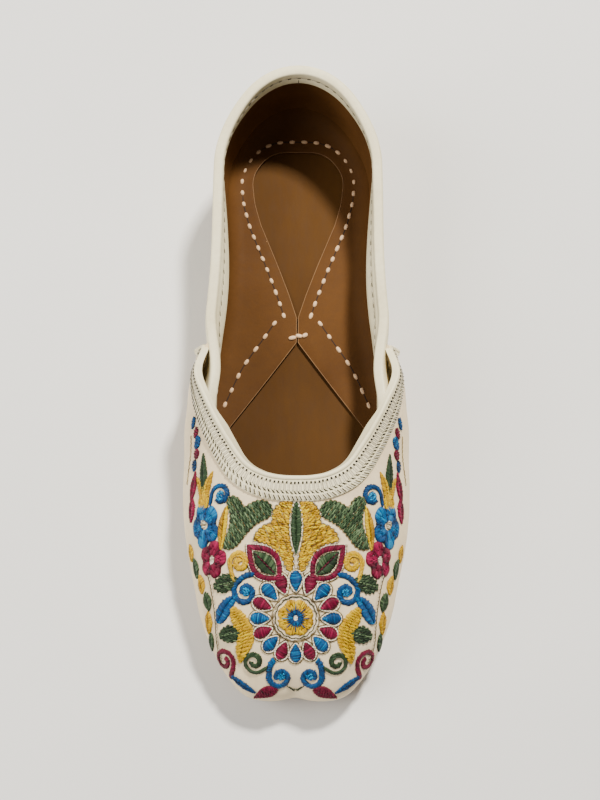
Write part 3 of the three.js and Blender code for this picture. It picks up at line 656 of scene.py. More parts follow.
def edge_share(g):
    """The height share of the quarters' leather edge, under the topline's fold."""
    low = np.full(g.shape, LOWER_SHARE)
    high = np.ones(g.shape)
    for _ in range(30):
        mid = (low + high) / 2
        p = upper_skin.point(g, mid)
        below = p[..., 2] < sole_top(p[..., 1]) + topline_at(p[..., 1]) - BINDING_WALL - FOLD_GAP
        low = np.where(below, mid, low)
        high = np.where(below, high, mid)
    return low


QUARTER_START = side_station(along(-0.09))
EDGE_G = np.linspace(QUARTER_START, END, 160)
EDGE_SHARE = edge_share(EDGE_G)


def opening_level(g, v):
    """Above zero where the upper's leather is kept: under the throat, and below the topline."""
    front = throat_level(g, v)
    rear = (np.interp(g, EDGE_G, EDGE_SHARE) - v) * 45
    t = ease((g - side_station(along(-0.075))) / 4.0)
    return np.where(g < QUARTER_START, front, front * (1 - t) + rear * t)


# Materials
def srgb(r, g, b):
    def one(c):
        c /= 255
        return c / 12.92 if c <= 0.04045 else ((c + 0.055) / 1.055) ** 2.4
    return (one(r), one(g), one(b), 1.0)


class Nodes:
    """A material's shader nodes, with their patterns in the object's own space."""

    def __init__(self, name):
        self.material = bpy.data.materials.new(name)
        self.material.use_nodes = True
        self.tree = self.material.node_tree
        self.bsdf = self.tree.nodes["Principled BSDF"]
        self.coords = self.add("ShaderNodeTexCoord")

    def add(self, kind, inputs=(), **values):
        node = self.tree.nodes.new(kind)
        for key, value in values.items():
            setattr(node, key, value)
        for name, value in dict(inputs).items():
            node.inputs[name].default_value = value
        return node

    def link(self, a, b):
        self.tree.links.new(a, b)

    def noise(self, scale, detail, rough, stretch=None):
        looks = {"Scale": scale, "Detail": detail, "Roughness": rough}
        node = self.add("ShaderNodeTexNoise", looks)
        self.link(self.place(stretch), node.inputs["Vector"])
        return node.outputs["Fac"]

    def cells(self, scale, stretch=None):
        node = self.add("ShaderNodeTexVoronoi", {"Scale": scale})
        self.link(self.place(stretch), node.inputs["Vector"])
        return node.outputs["Distance"]

    def place(self, stretch):
        if not stretch:
            return self.coords.outputs["Object"]
        node = self.add("ShaderNodeMapping", {"Scale": stretch})
        self.link(self.coords.outputs["Object"], node.inputs["Vector"])
        return node.outputs["Vector"]

    def ramp(self, value, stops):
        node = self.add("ShaderNodeValToRGB")
        elements = node.color_ramp.elements
        for element, (at, color) in zip(elements, (stops[0], stops[-1])):
            element.position = at
            element.color = color
        for at, color in stops[1:-1]:
            elements.new(at).color = color
        self.link(value, node.inputs["Fac"])
        return node.outputs["Color"]

    def multiply(self, a, b, share):
        node = self.add("ShaderNodeMix", {"Factor": share}, data_type="RGBA",
                        blend_type="MULTIPLY")
        self.link(a, node.inputs["A"])
        self.link(b, node.inputs["B"])
        return node.outputs["Result"]

    def bump(self, heights):
        """Bumps one over the other: height socket, strength and depth in millimetres."""
        normal = None
        for value, strength, depth in heights:
            node = self.add("ShaderNodeBump", {"Strength": strength, "Distance": depth * MM})
            self.link(value, node.inputs["Height"])
            if normal:
                self.link(normal, node.inputs["Normal"])
            normal = node.outputs["Normal"]
        self.link(normal, self.bsdf.inputs["Normal"])

    def rough(self, value, low, high):
        node = self.add("ShaderNodeMapRange", {"To Min": low, "To Max": high})
        self.link(value, node.inputs["Value"])
        self.link(node.outputs["Result"], self.bsdf.inputs["Roughness"])

    def color(self, socket):
        self.link(socket, self.bsdf.inputs["Base Color"])


def leather(name, light, dark, low, high, grain=900, deep=0.05, specular=0.35, stretch=None):
    """Blotched and mottled leather with pores; low and high are its roughness."""
    n = Nodes(name)
    blotch = n.noise(28, 5, 0.6, stretch)
    fine = n.noise(420, 4, 0.6, stretch)
    base = n.ramp(blotch, [(0.30, srgb(*dark)), (0.68, srgb(*light))])
    mottle = n.ramp(fine, [(0.25, (0.86, 0.85, 0.83, 1)), (0.7, (1, 1, 1, 1))])
    n.color(n.multiply(base, mottle, 0.8))
    pores = n.cells(grain, stretch)
    n.bump([(pores, 0.5, deep), (fine, 0.4, deep * 2), (blotch, 0.3, 0.5)])
    n.rough(fine, low, high)
    n.bsdf.inputs["Specular IOR Level"].default_value = specular
    return n.material


cream = leather("cream_leather", (238, 228, 194), (224, 212, 176), 0.42, 0.62)
vamp_cream = leather("vamp_leather", (242, 222, 184), (228, 206, 166), 0.45, 0.65)
binding_cream = leather("binding_leather", (242, 232, 194), (230, 218, 178), 0.40, 0.58)
tan_lining = leather("tan_lining", (106, 70, 33), (86, 55, 24), 0.6, 0.85, 700, specular=0.12)
brown_insole = leather("brown_insole", (84, 54, 19), (68, 42, 13), 0.6, 0.85, 600,
                       specular=0.12, stretch=(1.0, 0.35, 1.0))
flap_tan = leather("flap_leather", (92, 59, 25), (76, 47, 18), 0.6, 0.85, 700, specular=0.12)
sole_leather = leather("sole_leather", (190, 146, 96), (158, 116, 72), 0.5, 0.75, 500)
heel_leather = leather("heel_leather", (150, 106, 62), (118, 80, 46), 0.5, 0.75, 500)
cut_edge = leather("cut_edge", (140, 104, 66), (116, 82, 50), 0.6, 0.8, 900, 0.02)
bead_thread = leather("bead_thread", (232, 196, 156), (204, 166, 128), 0.5, 0.7, 1500, 0.12)
# Dark brown painted shade for the grooves between the flap stitches
painted_groove_shade = leather("painted_groove_shade", (48, 26, 8), (34, 18, 5), 0.7, 0.85, 900, 0.02)


def put(obj, material, slot_name, *nodes):
    """Paints a piece and hangs it under the root body, hiding the nodes it stands in for; slot_name is
    not used.
    """
    obj.data.materials.append(material)
    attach(obj, "root")
    if nodes:
        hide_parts(*nodes)


# Soft creases and swells of the leather on the flat chart: across, along, half length,
# half width, turn in degrees, height
CREASES = [
    (0, -127, 7, 3.5, 90, -0.9), (9, -126, 5, 4, 100, 0.35), (-9, -126, 5, 4, 80, 0.35),
    (25, -116, 11, 3.2, 50, -0.45), (-24, -114, 12, 3.2, -48, -0.45),
    (36, -86, 15, 3.0, 84, -0.5), (-36, -90, 14, 3.0, -82, -0.45),
    (31, -62, 14, 3.4, 68, -0.45), (-30, -66, 13, 3.4, -70, -0.5),
    (14, -82, 16, 4.5, 10, 0.30), (-13, -78, 15, 4.5, -14, 0.30),
    (44, -40, 12, 3.2, 78, -0.55), (-44, -38, 13, 3.2, -80, -0.5),
    (20, -52, 10, 2.6, 24, -0.35), (-21, -54, 9, 2.6, -20, -0.35),
    (52, -62, 14, 3.0, 84, 0.45), (-51, -66, 13, 3.0, -84, 0.45),
    (40, -14, 14, 4.0, 74, -0.45), (-41, -12, 13, 4.0, -76, -0.45),
]


def relief(x, y):
    """The height of the leather's creases over the last's even skin."""
    total = np.zeros(x.shape)
    for cx, cy, half_long, half_wide, turn, height in CREASES:
        c, s = math.cos(math.radians(turn)), math.sin(math.radians(turn))
        u = ((x - cx) * c + (y - cy) * s) / half_long
        v = ((y - cy) * c - (x - cx) * s) / half_wide
        total = total + height * np.exp(-u * u - v * v)
    return total


# Embroidery
SEED = 20
rng = np.random.default_rng(SEED)
THREAD_POINTS = 5
THREAD_T = np.linspace(0, 1, THREAD_POINTS)
THREAD_WIDTH = 0.44
SHORTEST_THREAD = 0.3
SPINE_POINTS = 41
CORNER_CUTS = 3
PETAL_NOTCH = 0.24


def sides(mirror):
    return (1, -1) if mirror else (1,)


class Threads:
    """Short threads, gathered by colour, on a flat chart of the leather they lie on.

    tone is a thread's place from shade to light, spread its random change from one thread to
    the next, rise or lift its height in the middle, ends its height at both ends.
    """

    def __init__(self):
        self.rows = {}

    def strokes(self, color, a, b, rise=0.45, tone=0.5, spread=0.12, width=THREAD_WIDTH,
                dark_middle=0.0, ends=0.08, mirror=True):
        """Straight threads from a to b, raised in the middle."""
        a = np.atleast_2d(a)
        b = np.atleast_2d(b)
        shade = np.broadcast_to(np.asarray(tone, float).reshape(-1), len(a))
        long_enough = np.linalg.norm(b - a, axis=1) > SHORTEST_THREAD
        a, b, shade = a[long_enough], b[long_enough], shade[long_enough, None]
        if not len(a):
            return
        t = THREAD_T[None, :, None]
        points = a[:, None] * (1 - t) + b[:, None] * t
        arch = np.sin(math.pi * THREAD_T) ** 0.6
        lift = ends + rise * arch[None] * rng.uniform(0.85, 1.12, (len(a), 1))
        for side in sides(mirror):
            jitter = rng.normal(0, spread, (len(a), 1))
            # Each thread is painted darker towards its ends: painted shade where it dips into the
            # leather
            tones = shade + jitter - dark_middle * (arch[None] ** 2) - 0.10 * (1 - arch[None])
            self.keep(color, points * np.array([side, 1.0]), lift, tones, width)

    def line(self, color, path, width=0.4, stitch=1.5, lift=0.25, tone=0.5, spread=0.1,
             mirror=True):
        """A running line of short threads along a path."""
        path = np.asarray(path, float)
        count = max(1, int(round(length_of(path) / stitch)))
        fine = evenly(path, count * (THREAD_POINTS - 1) + 1)
        idx = np.arange(count)[:, None] * (THREAD_POINTS - 1) + np.arange(THREAD_POINTS)[None]
        points = fine[idx]
        arch = np.sin(math.pi * THREAD_T) ** 0.5
        lifts = np.broadcast_to(0.06 + lift * arch[None], (count, THREAD_POINTS))
        for side in sides(mirror):
            # Each stitch is painted darker towards its ends: painted shade where it dips into the
            # leather
            tones = tone + rng.normal(0, spread, (count, 1)) - 0.12 * (1 - arch[None])
            self.keep(color, points * np.array([side, 1.0]), lifts, tones, width)

    def around(self, color, outline, distance, **looks):
        """A running line round a closed outline, at a distance outside it."""
        self.line(color, closed(offset_outline(outline, distance)), **looks)

    def keep(self, color, points, lift, tones, width):
        self.rows.setdefault(color, []).append(
            (points, np.broadcast_to(lift, points.shape[:2]),
             np.broadcast_to(tones, points.shape[:2]), np.full(len(points), width)))

    def band(self, color, one, two, pitch=0.37, slant=0.0, longest=4.2, jitter=0.15, **looks):
        """Satin threads between two lines."""
        one = np.asarray(one, float)
        two = np.asarray(two, float)
        n = max(3, int(max(length_of(one), length_of(two)) / pitch))
        a = evenly(one, n)
        b = evenly(two, n)
        shift = int(round(slant * np.linalg.norm(a - b, axis=1).mean() / pitch))
        b = b[np.clip(np.arange(n) + shift, 0, n - 1)]
        away = unit(a - b)
        a = a + away * rng.normal(0, jitter, (n, 1))
        b = b - away * rng.normal(0, jitter, (n, 1))
        self.split(color, a, b, longest, **looks)

    def split(self, color, a, b, longest, tone=0.5, **looks):
        """Threads from a to b, the long ones laid in several stitches."""
        tone = np.broadcast_to(np.asarray(tone, float).reshape(-1), len(a))
        parts = np.maximum(1, np.ceil(np.linalg.norm(b - a, axis=1) / longest)).astype(int)
        for count in np.unique(parts):
            pick = parts == count
            cuts = np.linspace(0, 1, count + 1)[None].repeat(pick.sum(), 0)
            if count > 1:
                cuts[:, 1:-1] += rng.uniform(-0.3, 0.3, (pick.sum(), count - 1)) / count
            for i in range(count):
                p = a[pick] + (b[pick] - a[pick]) * cuts[:, i:i + 1]
                q = a[pick] + (b[pick] - a[pick]) * cuts[:, i + 1:i + 2]
                self.strokes(color, p, q, tone=tone[pick], **looks)

    def fill(self, color, outline, angle, pitch=0.37, longest=2.6, **looks):
        """Parallel threads across a closed outline, staggered like bricks."""
        turn = math.radians(angle)
        c, s = math.cos(turn), math.sin(turn)
        spin = np.array([[c, s], [-s, c]])
        poly = np.asarray(outline, float) @ spin.T
        ends_a, ends_b = [], []
        nxt = np.roll(poly, -1, axis=0)
        for k, y in enumerate(np.arange(poly[:, 1].min() + pitch / 2, poly[:, 1].max(), pitch)):
            crosses = (poly[:, 1] <= y) != (nxt[:, 1] <= y)
            p, q = poly[crosses], nxt[crosses]
            xs = np.sort(p[:, 0] + (y - p[:, 1]) / (q[:, 1] - p[:, 1]) * (q[:, 0] - p[:, 0]))
            for x0, x1 in zip(xs[0::2], xs[1::2]):
                x = x0 - rng.uniform(0, 0.2)
                end = x1 + rng.uniform(0, 0.2)
                step = longest * (0.4 + 0.3 * (k % 3))
                while x < end - 0.25:
                    nx = min(end, x + step * rng.uniform(0.85, 1.1))
                    if end - nx < 0.5:
                        nx = end
                    ends_a.append((x, y))
                    ends_b.append((nx, y))
                    x = nx - 0.1
                    step = longest
        a = np.array(ends_a) @ spin
        b = np.array(ends_b) @ spin
        wobble = rng.normal(0, 0.06, a.shape)
        self.strokes(color, a + wobble, b + wobble, **looks)

    def leaf(self, color, shape, slant=0.5, tones=(0.5, 0.5), **looks):
        """Two satin halves that meet on a leaf's spine."""
        spine, edges = shape
        for line, tone in zip(edges, tones):
            self.band(color, line, spine, slant=slant, ends=0.1, tone=tone, **looks)

    def cord(self, color, path, wide, thin, **looks):
        """A satin cord along a curling path, with a half width at each end."""
        path = evenly(smooth_line(path), 80)
        side = unit(np.gradient(path, axis=0))[:, ::-1] * np.array([-1, 1])
        half = np.linspace(wide, thin, len(path))[:, None]
        self.band(color, path + side * half, path - side * half, slant=0.5, **looks)

    def flower(self, color, center, size, petals, turn, eye, pitch=0.4):
        """Threads from a flower's eye to its petals' edge, with painted light across each petal's middle
        and painted shade between the petals.
        """
        outline = closed(flower_outline(center, size, petals, turn))
        edge = evenly(outline, int(length_of(outline) / pitch))
        away = edge - np.asarray(center, float)
        angle = np.arctan2(away[:, 1] / size[1], away[:, 0] / size[0]) - math.radians(turn)
        # Painted light across each petal's middle, painted shade between petals, and a slow change round
        # the flower
        light = 0.5 + 0.16 * np.cos(petals * angle) + 0.10 * np.sin(2 * angle)
        start = center + unit(away) * eye
        self.split(color, start, edge, 3.6, tone=light, spread=0.10, rise=0.5)
        # Dark lines of painted shade between the petals
        between = 2 * math.pi / petals
        for k in range(petals):
            a = math.radians(turn) + (k + 0.5) * between
            d = np.array([math.cos(a), math.sin(a)]) * size
            self.line(color, [center + d * 0.25, center + d * 0.80], width=0.4, lift=0.66,
                      tone=0.02)


def closed(line):
    return np.vstack([line, line[:1]])


def rounded(outline):
    """A closed outline with its corners cut smooth."""
    p = np.asarray(outline, float)
    for _ in range(CORNER_CUTS):
        q = np.roll(p, -1, axis=0)
        p = np.stack([p * 0.75 + q * 0.25, p * 0.25 + q * 0.75], 1).reshape(-1, 2)
    return p


def smooth_line(path):
    """An open path with its corners cut smooth."""
    p = np.asarray(path, float)
    for _ in range(CORNER_CUTS):
        a, b = p[:-1], p[1:]
        mid = np.stack([a * 0.75 + b * 0.25, a * 0.25 + b * 0.75], 1).reshape(-1, 2)
        p = np.vstack([p[:1], mid, p[-1:]])
    return evenly(p, 80)


def leaf_shape(tip_a, tip_b, left, right, bend=0.0, power=0.75, belly=0.5):
    """A leaf's spine and its two sides; belly is where along the spine it is widest."""
    a, b = np.array(tip_a, float), np.array(tip_b, float)
    t = np.linspace(0, 1, SPINE_POINTS)[:, None]
    d = b - a
    across = np.array([-d[1], d[0]]) / np.linalg.norm(d)
    spine = a + d * t + across * bend * 4 * t * (1 - t)
    swell = np.clip(np.sin(math.pi * t ** (math.log(0.5) / math.log(belly))), 0, 1) ** power
    return spine, (spine + across * left * swell, spine - across * right * swell)


def drop_shape(tip, end, half, bend=0.0):
    """A drop: a pointed tip and a round, fat end."""
    return leaf_shape(tip, end, half, half, bend, power=0.5, belly=0.64)


def leaf_outline(shape):
    _, (left, right) = shape
    return np.vstack([left, right[::-1]])


def ragged(outline, tooth=1.5, depth=0.5):
    """A closed outline with small round teeth."""
    around = closed(outline)
    teeth = max(4, int(length_of(around) / tooth))
    steps = 6
    line = evenly(around, teeth * steps + 1)[:-1]
    phase = np.arange(len(line)) % steps / steps
    return offset_outline(line, depth * np.abs(np.sin(math.pi * phase))[:, None])


def ellipse(center, rx, ry, angle=0.0):
    t = np.linspace(0, 2 * math.pi, 24, endpoint=False)
    turn = math.radians(angle)
    x, y = rx * np.cos(t), ry * np.sin(t)
    return np.stack([center[0] + x * math.cos(turn) - y * math.sin(turn),
                     center[1] + x * math.sin(turn) + y * math.cos(turn)], -1)


def flower_outline(center, size, petals, turn):
    """A round outline with a notch between each two petals."""
    t = np.linspace(0, 2 * math.pi, 40 * petals, endpoint=False)
    reach = 1 - PETAL_NOTCH * np.abs(np.sin(petals * (t - math.radians(turn)) / 2)) ** 5
    return center + np.stack([np.cos(t), np.sin(t)], -1) * reach[:, None] * np.asarray(size)


def curl(center, start, sweep, wide, tight, stem=()):
    """A stem that runs into a spiral, from radius wide to tight over a sweep in degrees."""
    turns = np.radians(np.linspace(start, start + sweep, 40))
    radius = np.linspace(wide, tight, 40)[:, None]
    spiral = np.array(center) + radius * np.stack([np.cos(turns), np.sin(turns)], -1)
    return np.vstack([np.reshape(stem, (-1, 2)), spiral])


def offset_outline(outline, distance):
    """A closed outline set outwards."""
    p = np.asarray(outline, float)
    t = unit(np.roll(p, -1, axis=0) - np.roll(p, 1, axis=0))
    n = np.stack([t[:, 1], -t[:, 0]], -1)
    area = 0.5 * np.sum(p[:, 0] * np.roll(p[:, 1], -1) - np.roll(p[:, 0], -1) * p[:, 1])
    return p + n * distance * (1 if area > 0 else -1)


# Corner points of the motifs that are no plain leaf, curl or flower: across, along
PALMETTE = [(1.5, -52.5), (5, -52.5), (8.5, -56), (8.5, -61), (12.5, -61.5), (16.5, -66.5),
            (11.5, -67), (7.5, -69.5), (4.5, -73.5), (2, -79), (1.2, -73), (3, -67), (3.2, -60),
            (2, -55)]
SIDE_LEAF = [(27, -50.5), (22.5, -50.5), (20, -55.5), (17, -53), (12, -52), (9, -55), (10, -58),
             (15.5, -60), (20, -64.5), (23.5, -69), (29, -69), (25.5, -63), (24.5, -57)]
MOON = [(24.5, -90), (20, -93.5), (16.5, -99.5), (17, -105), (21, -110.5), (23.5, -114),
        (24.5, -107), (22.3, -101), (25, -97.5), (25.7, -93)]


def palmette(e):
    """The broad leaves beside the throat's middle, and the green leaf between them."""
    shape = ragged(rounded(PALMETTE), 1.9, 0.55)
    e.fill("yellow", shape, 24, pitch=0.42, longest=2.4, tone=0.55, spread=0.24, rise=0.4,
           width=0.5)
    e.fill("gold", offset_outline(rounded(PALMETTE), -1.0), 70, pitch=2.6, longest=1.6, tone=0.35,
           rise=0.6, spread=0.3, width=0.34)
    e.around("gold", shape, 0.1, width=0.34, stitch=0.9, tone=0.35, spread=0.25)
    e.around("cream", shape, 0.55, width=0.36, stitch=1.0, tone=0.4, spread=0.25)
    leaf = leaf_shape((0, -52.6), (0, -71.3), 2.1, 2.1, belly=0.45)
    e.leaf("green", leaf, mirror=False, rise=0.5)
    e.around("cream", leaf_outline(leaf), 0.35, mirror=False)
    e.line("gold", [(0.5, -79.5), (0.5, -71.5)], width=0.34)


def side_leaves(e):
    shape = ragged(rounded(SIDE_LEAF), 1.7, 0.6)
    e.fill("green", shape, 58, pitch=0.42, longest=2.6, tone=0.55, spread=0.2, rise=0.4,
           width=0.5)
    e.fill("gold", offset_outline(rounded(SIDE_LEAF), -1.2), 58, pitch=2.8, longest=1.3,
           tone=0.25, rise=0.5, spread=0.15, width=0.3)
    e.around("gold", shape, 0.15, width=0.32, stitch=0.9, tone=0.4, spread=0.3)


def framed_leaves(e):
    """A green leaf in a magenta frame, on each side of the daisy."""
    tip, root = np.array((18.8, -67.8)), np.array((5.6, -80.8))
    down = unit(root - tip)
    outer = leaf_shape(tip, root, 6.0, 6.0, power=0.8, belly=0.55)
    inner = leaf_shape(tip + down * 3.4, root - down * 2.6, 3.6, 3.6, power=0.8, belly=0.55)
    for k in (0, 1):
        e.band("magenta", outer[1][k], inner[1][k], slant=0.4, rise=0.5, tone=0.42, spread=0.14)
        e.line("cream", outer[1][k], width=0.36, tone=0.5, spread=0.2, stitch=1.0)
        e.line("cream", inner[1][k], width=0.3, tone=0.15, spread=0.2, stitch=1.0, lift=0.5)
    e.leaf("green", leaf_shape(tip + down * 3.8, root - down * 3.0, 3.1, 3.1, power=0.8,
                               belly=0.55), tones=(0.32, 0.5), spread=0.16, rise=0.4)
    e.line("magenta", [tip + down * 4.4, root - down * 3.4], width=0.5, lift=0.6, tone=0.15)
    e.line("gold", offset_outline(leaf_outline(outer), 0.45)[:SPINE_POINTS], width=0.3,
           tone=0.35, spread=0.3, stitch=1.1)


def tulips(e):
    e.leaf("green", leaf_shape((38.3, -32.8), (37.6, -47.6), 2.0, 2.0, belly=0.55),
           tones=(0.25, 0.4))
    e.leaf("yellow", leaf_shape((41.6, -41.5), (37.8, -53.2), 1.9, 1.6, -1.0), tones=(0.45, 0.6))
    e.leaf("yellow", leaf_shape((33.2, -40.4), (37.2, -53.2), 1.6, 1.9, 1.0), tones=(0.6, 0.45))
    e.fill("yellow", ellipse((37.5, -51.0), 2.7, 3.2), 80, tone=0.65)


def side_flowers(e):
    e.cord("blue", curl((29.5, -49.3), -10, 330, 4.2, 2.0, [(34.5, -53)]), 0.55, 1.05, tone=0.3,
           rise=0.5)
    # The curl's ball in lighter blue: painted highlight on the raised ball
    e.fill("blue", ellipse((29.6, -49.6), 1.7, 1.9), 30, tone=0.65, spread=0.3, rise=0.6)
    blue = np.array((37.0, -60.0))
    e.flower("blue", blue, (6.9, 8.6), 5, 68, 1.5)
    e.fill("cream", ellipse(blue + (0.6, 1.0), 1.2, 1.9), 0, tone=0.25, spread=0.3)
    magenta = np.array((33.4, -72.8))
    e.flower("magenta", magenta, (6.3, 7.0), 5, 104, 1.2)
    e.fill("cream", ellipse(magenta, 1.0, 1.8, 15), 0, tone=0.55, spread=0.3)
    e.leaf("yellow", leaf_shape((26.7, -53.5), (29.4, -69.4), 2.0, 1.7, 0.5), tones=(0.3, 0.8),
           slant=0.8)


def side_chain(e):
    for color, x, y, rx, ry, turn, tone in (
            ("blue", 46.2, -20, 1.4, 2.3, 20, 0.4), ("magenta", 43.9, -24, 1.5, 2.1, 20, 0.4),
            ("blue", 42.6, -28, 2.0, 2.4, 25, 0.45), ("magenta", 43, -32.3, 1.9, 1.9, 0, 0.4),
            ("blue", 44.4, -36.5, 1.5, 2.3, 0, 0.2)):
        e.fill(color, ellipse((x, y), rx, ry, turn), turn, tone=tone, rise=0.5)
    e.leaf("magenta", leaf_shape((43.2, -39), (45.2, -49.8), 2.0, 2.0), tones=(0.35, 0.5))
    e.leaf("magenta", leaf_shape((44.5, -48.5), (45.4, -58), 2.2, 2.2), tones=(0.35, 0.6))
    e.line("gold", smooth_line([(48, -24.5), (47.6, -30.5), (48.3, -37), (49.5, -43)]), tone=0.6)


def border(e):
    """The row of single leaves down the vamp's sides, with its gold and cream edge."""
    for color, x, y, half, reach, turn in (
            ("yellow", 47, -69, 2.0, 3.1, 10), ("green", 43.8, -75, 2.3, 3.8, 14),
            ("yellow", 40.3, -81.2, 2.3, 3.5, 10), ("green", 37.1, -88, 2.5, 3.8, 12),
            ("yellow", 37.6, -96.8, 2.2, 4.8, -8), ("green", 37.9, -105.5, 2.0, 4.5, -16)):
        d = np.array([math.sin(math.radians(turn)), math.cos(math.radians(turn))]) * reach
        at = np.array((x, y))
        e.leaf(color, leaf_shape(at + d, at - d, half, half), tones=(0.4, 0.55))
    edge = smooth_line([(37, -76.5), (35, -80), (33.3, -87.5), (33.2, -97.5), (34.3, -106.5),
                        (32, -113.5)])
    e.line("gold", edge, width=0.5, tone=0.25)
    e.line("cream", edge + np.array([-0.55, 0]), width=0.36, tone=0.4)


def scrolls(e):
    e.cord("yellow", curl((21.6, -74.4), 0, 500, 4.2, 0.8, [(23.5, -81.6), (24.9, -78)]), 0.7,
           0.85, tone=0.6)
    serrated = leaf_shape((32.6, -82.6), (22.6, -80.8), 2.9, 2.9, power=0.7)
    e.fill("green", ragged(leaf_outline(serrated), 1.7, 0.7), 12, tone=0.38, spread=0.18)
    e.line("green", serrated[0], lift=0.55, tone=0.9, width=0.34)
    e.cord("blue", curl((19.3, -85.2), 45, -420, 4.9, 1.2, [(15.4, -78.7), (19, -78.8)]), 1.05,
           0.95, tone=0.38)
    # The curl's ball in lighter blue: painted highlight on the raised ball
    e.fill("blue", ellipse((19, -85), 1.6, 1.6), 40, tone=0.75, spread=0.3, rise=0.65)
    e.leaf("blue", drop_shape((22.2, -85.6), (31.8, -96.6), 2.9, 0.8), tones=(0.4, 0.55),
           slant=0.6)


def moons(e):
    shape = ragged(rounded(MOON), 2.2, 0.4)
    e.fill("yellow", shape, -35, pitch=0.36, longest=4.4, tone=0.7, dark_middle=0.1, spread=0.12,
           rise=0.5)
    e.line("yellow", smooth_line([(24.6, -92.5), (20.5, -98), (20.6, -104), (23.2, -111.5)]),
           lift=0.62, tone=0.15, width=0.4)
    leaf = leaf_shape((31.9, -102.2), (22.3, -100.2), 3.1, 3.1, power=0.7, belly=0.55)
    e.fill("green", ragged(leaf_outline(leaf), 1.8, 0.6), 8, tone=0.38, spread=0.2, rise=0.5)
    e.line("green", leaf[0], lift=0.6, tone=0.85, width=0.34)


def toe_curls(e):
    e.cord("magenta", curl((31, -112.9), 165, -400, 4.9, 1.6, [(28.7, -120.5), (26.2, -115.5)]),
           1.0, 0.95, tone=0.4)
    e.cord("green", curl((16.9, -112.3), -115, 475, 4.8, 1.1, [(11.3, -114.4)]), 0.55, 0.85,
           tone=0.4)
    e.cord("blue", curl((6.4, -119), 25, -410, 4.9, 1.5, [(8.5, -111.2), (10.7, -114)]), 1.2,
           0.9, tone=0.4)
    # The curl's ball in lighter blue: painted highlight on the raised ball
    e.fill("blue", ellipse((5.9, -118.6), 1.6, 1.6), 40, tone=0.7, spread=0.3, rise=0.65)
    e.leaf("blue", leaf_shape((28.6, -118.8), (17.2, -125.8), 1.7, 1.5), tones=(0.2, 0.35))
    toe = leaf_shape((18.2, -128.8), (7.4, -124.2), 1.9, 3.2, power=0.7, belly=0.6)
    e.fill("magenta", leaf_outline(toe), 60, tone=0.42)
    e.line("green", [(3.6, -123.2), (0.4, -126.8)], width=0.34, tone=0.2)
    e.line("green", [(2.6, -123.9), (0.9, -125.6), (-0.9, -125.6)], width=0.34, tone=0.2)


def daisy(e):
    """A ring of drops round a yellow and blue flower."""
    middle = np.array([0.0, -95.1])
    petals = 16
    turns = np.linspace(0, 2 * math.pi, 361)
    ring = np.stack([np.sin(turns), np.cos(turns)], -1)
    scallop = np.abs(np.sin(turns * petals / 2))[:, None]
    petal = np.abs(np.sin(turns * 4))[:, None]
    e.band("yellow", middle + ring * (6.2 + 0.9 * petal ** 0.6), middle + ring * 2.6, pitch=0.42,
           tone=0.6, spread=0.2, rise=0.5, mirror=False)
    ray = np.linspace(0, 2 * math.pi, 48, endpoint=False)
    out = np.stack([np.sin(ray), np.cos(ray)], -1)
    reach = np.where(np.arange(48) % 6 == 0, 5.4, np.where(np.arange(48) % 2 == 0, 3.9, 3.0))
    e.strokes("blue", middle + out * 1.0, middle + out * reach[:, None], rise=0.6, tone=0.45,
              spread=0.22, width=0.36, ends=0.5, mirror=False)
    e.fill("cream", ellipse(middle, 1.0, 1.0), 0, tone=0.7, rise=0.6, mirror=False)
    for radius, color, tone in ((7.7, "green", 0.2), (8.3, "cream", 0.4), (8.9, "gold", 0.3)):
        e.line(color, middle + ring * (radius + 0.4 * scallop), width=0.36, tone=tone,
               spread=0.3, mirror=False)
    for k in range(petals // 2 + 1):
        turn = 2 * math.pi * k / petals
        d = np.array([math.sin(turn), math.cos(turn)])
        color = "blue" if k % 2 == 0 else "magenta"
        alone = dict(mirror=k not in (0, petals // 2))
        drop = drop_shape(middle + d * 10.3, middle + d * 17.4, 2.25)
        e.band(color, *drop[1], slant=0.25, longest=6, tone=0.5, rise=0.7, spread=0.14,
               pitch=0.34, **alone)
        rim = leaf_outline(drop)
        e.around("cream", rim, 0.45, width=0.46, stitch=1.1, tone=0.6, spread=0.2, lift=0.35,
                 **alone)
        e.around("gold", offset_outline(rim, 0.45), 0.5, width=0.34, stitch=1.2, tone=0.25,
                 spread=0.25, **alone)


def tube_net(p, n, width):
    """Four-sided tubes along lines of points (count, steps, 3) that lie on normals n."""
    t = unit(np.gradient(p, axis=1))
    across = unit(np.cross(n, t))
    up = np.cross(t, across)
    count, steps = p.shape[:2]
    wide = (width / 2)[:, None, None]
    corners = []
    for turn in np.radians([45, 135, 225, 315]):
        corners.append(p + across * math.cos(turn) * wide * 1.2
                       + up * math.sin(turn) * wide * 0.75 * 1.2)
    points = np.stack(corners, 2).reshape(-1, 3)
    ring = (np.arange(count)[:, None, None] * steps + np.arange(steps - 1)[None, :, None]) * 4
    corner = np.arange(4)
    a = ring + corner
    b = ring + (corner + 1) % 4
    walls = np.stack([a, b, b + 4, a + 4], -1).reshape(-1, 4)
    first = np.arange(count)[:, None] * steps * 4
    last = first + (steps - 1) * 4
    return points, np.vstack([walls, first + corner[::-1], last + corner])


def thread_mesh(name, p, n, width, tones):
    """A mesh of thread tubes that keeps each point's tone for the material."""
    points, faces = tube_net(p, n, width)
    mesh = bpy.data.meshes.new(name)
    mesh.vertices.add(len(points))
    mesh.vertices.foreach_set("co", (points * MM).astype(np.float32).ravel())
    mesh.loops.add(faces.size)
    mesh.loops.foreach_set("vertex_index", faces.ravel().astype(np.int32))
    mesh.polygons.add(len(faces))
    mesh.polygons.foreach_set("loop_start", np.arange(0, faces.size, 4, dtype=np.int32))
    mesh.polygons.foreach_set("use_smooth", np.ones(len(faces), bool))
    mesh.update(calc_edges=True)
    mesh.validate()
    tone = mesh.attributes.new("tone", "FLOAT", "POINT")
    tone.data.foreach_set("value", np.repeat(tones.ravel(), 4).astype(np.float32))
    return placed(name, mesh)


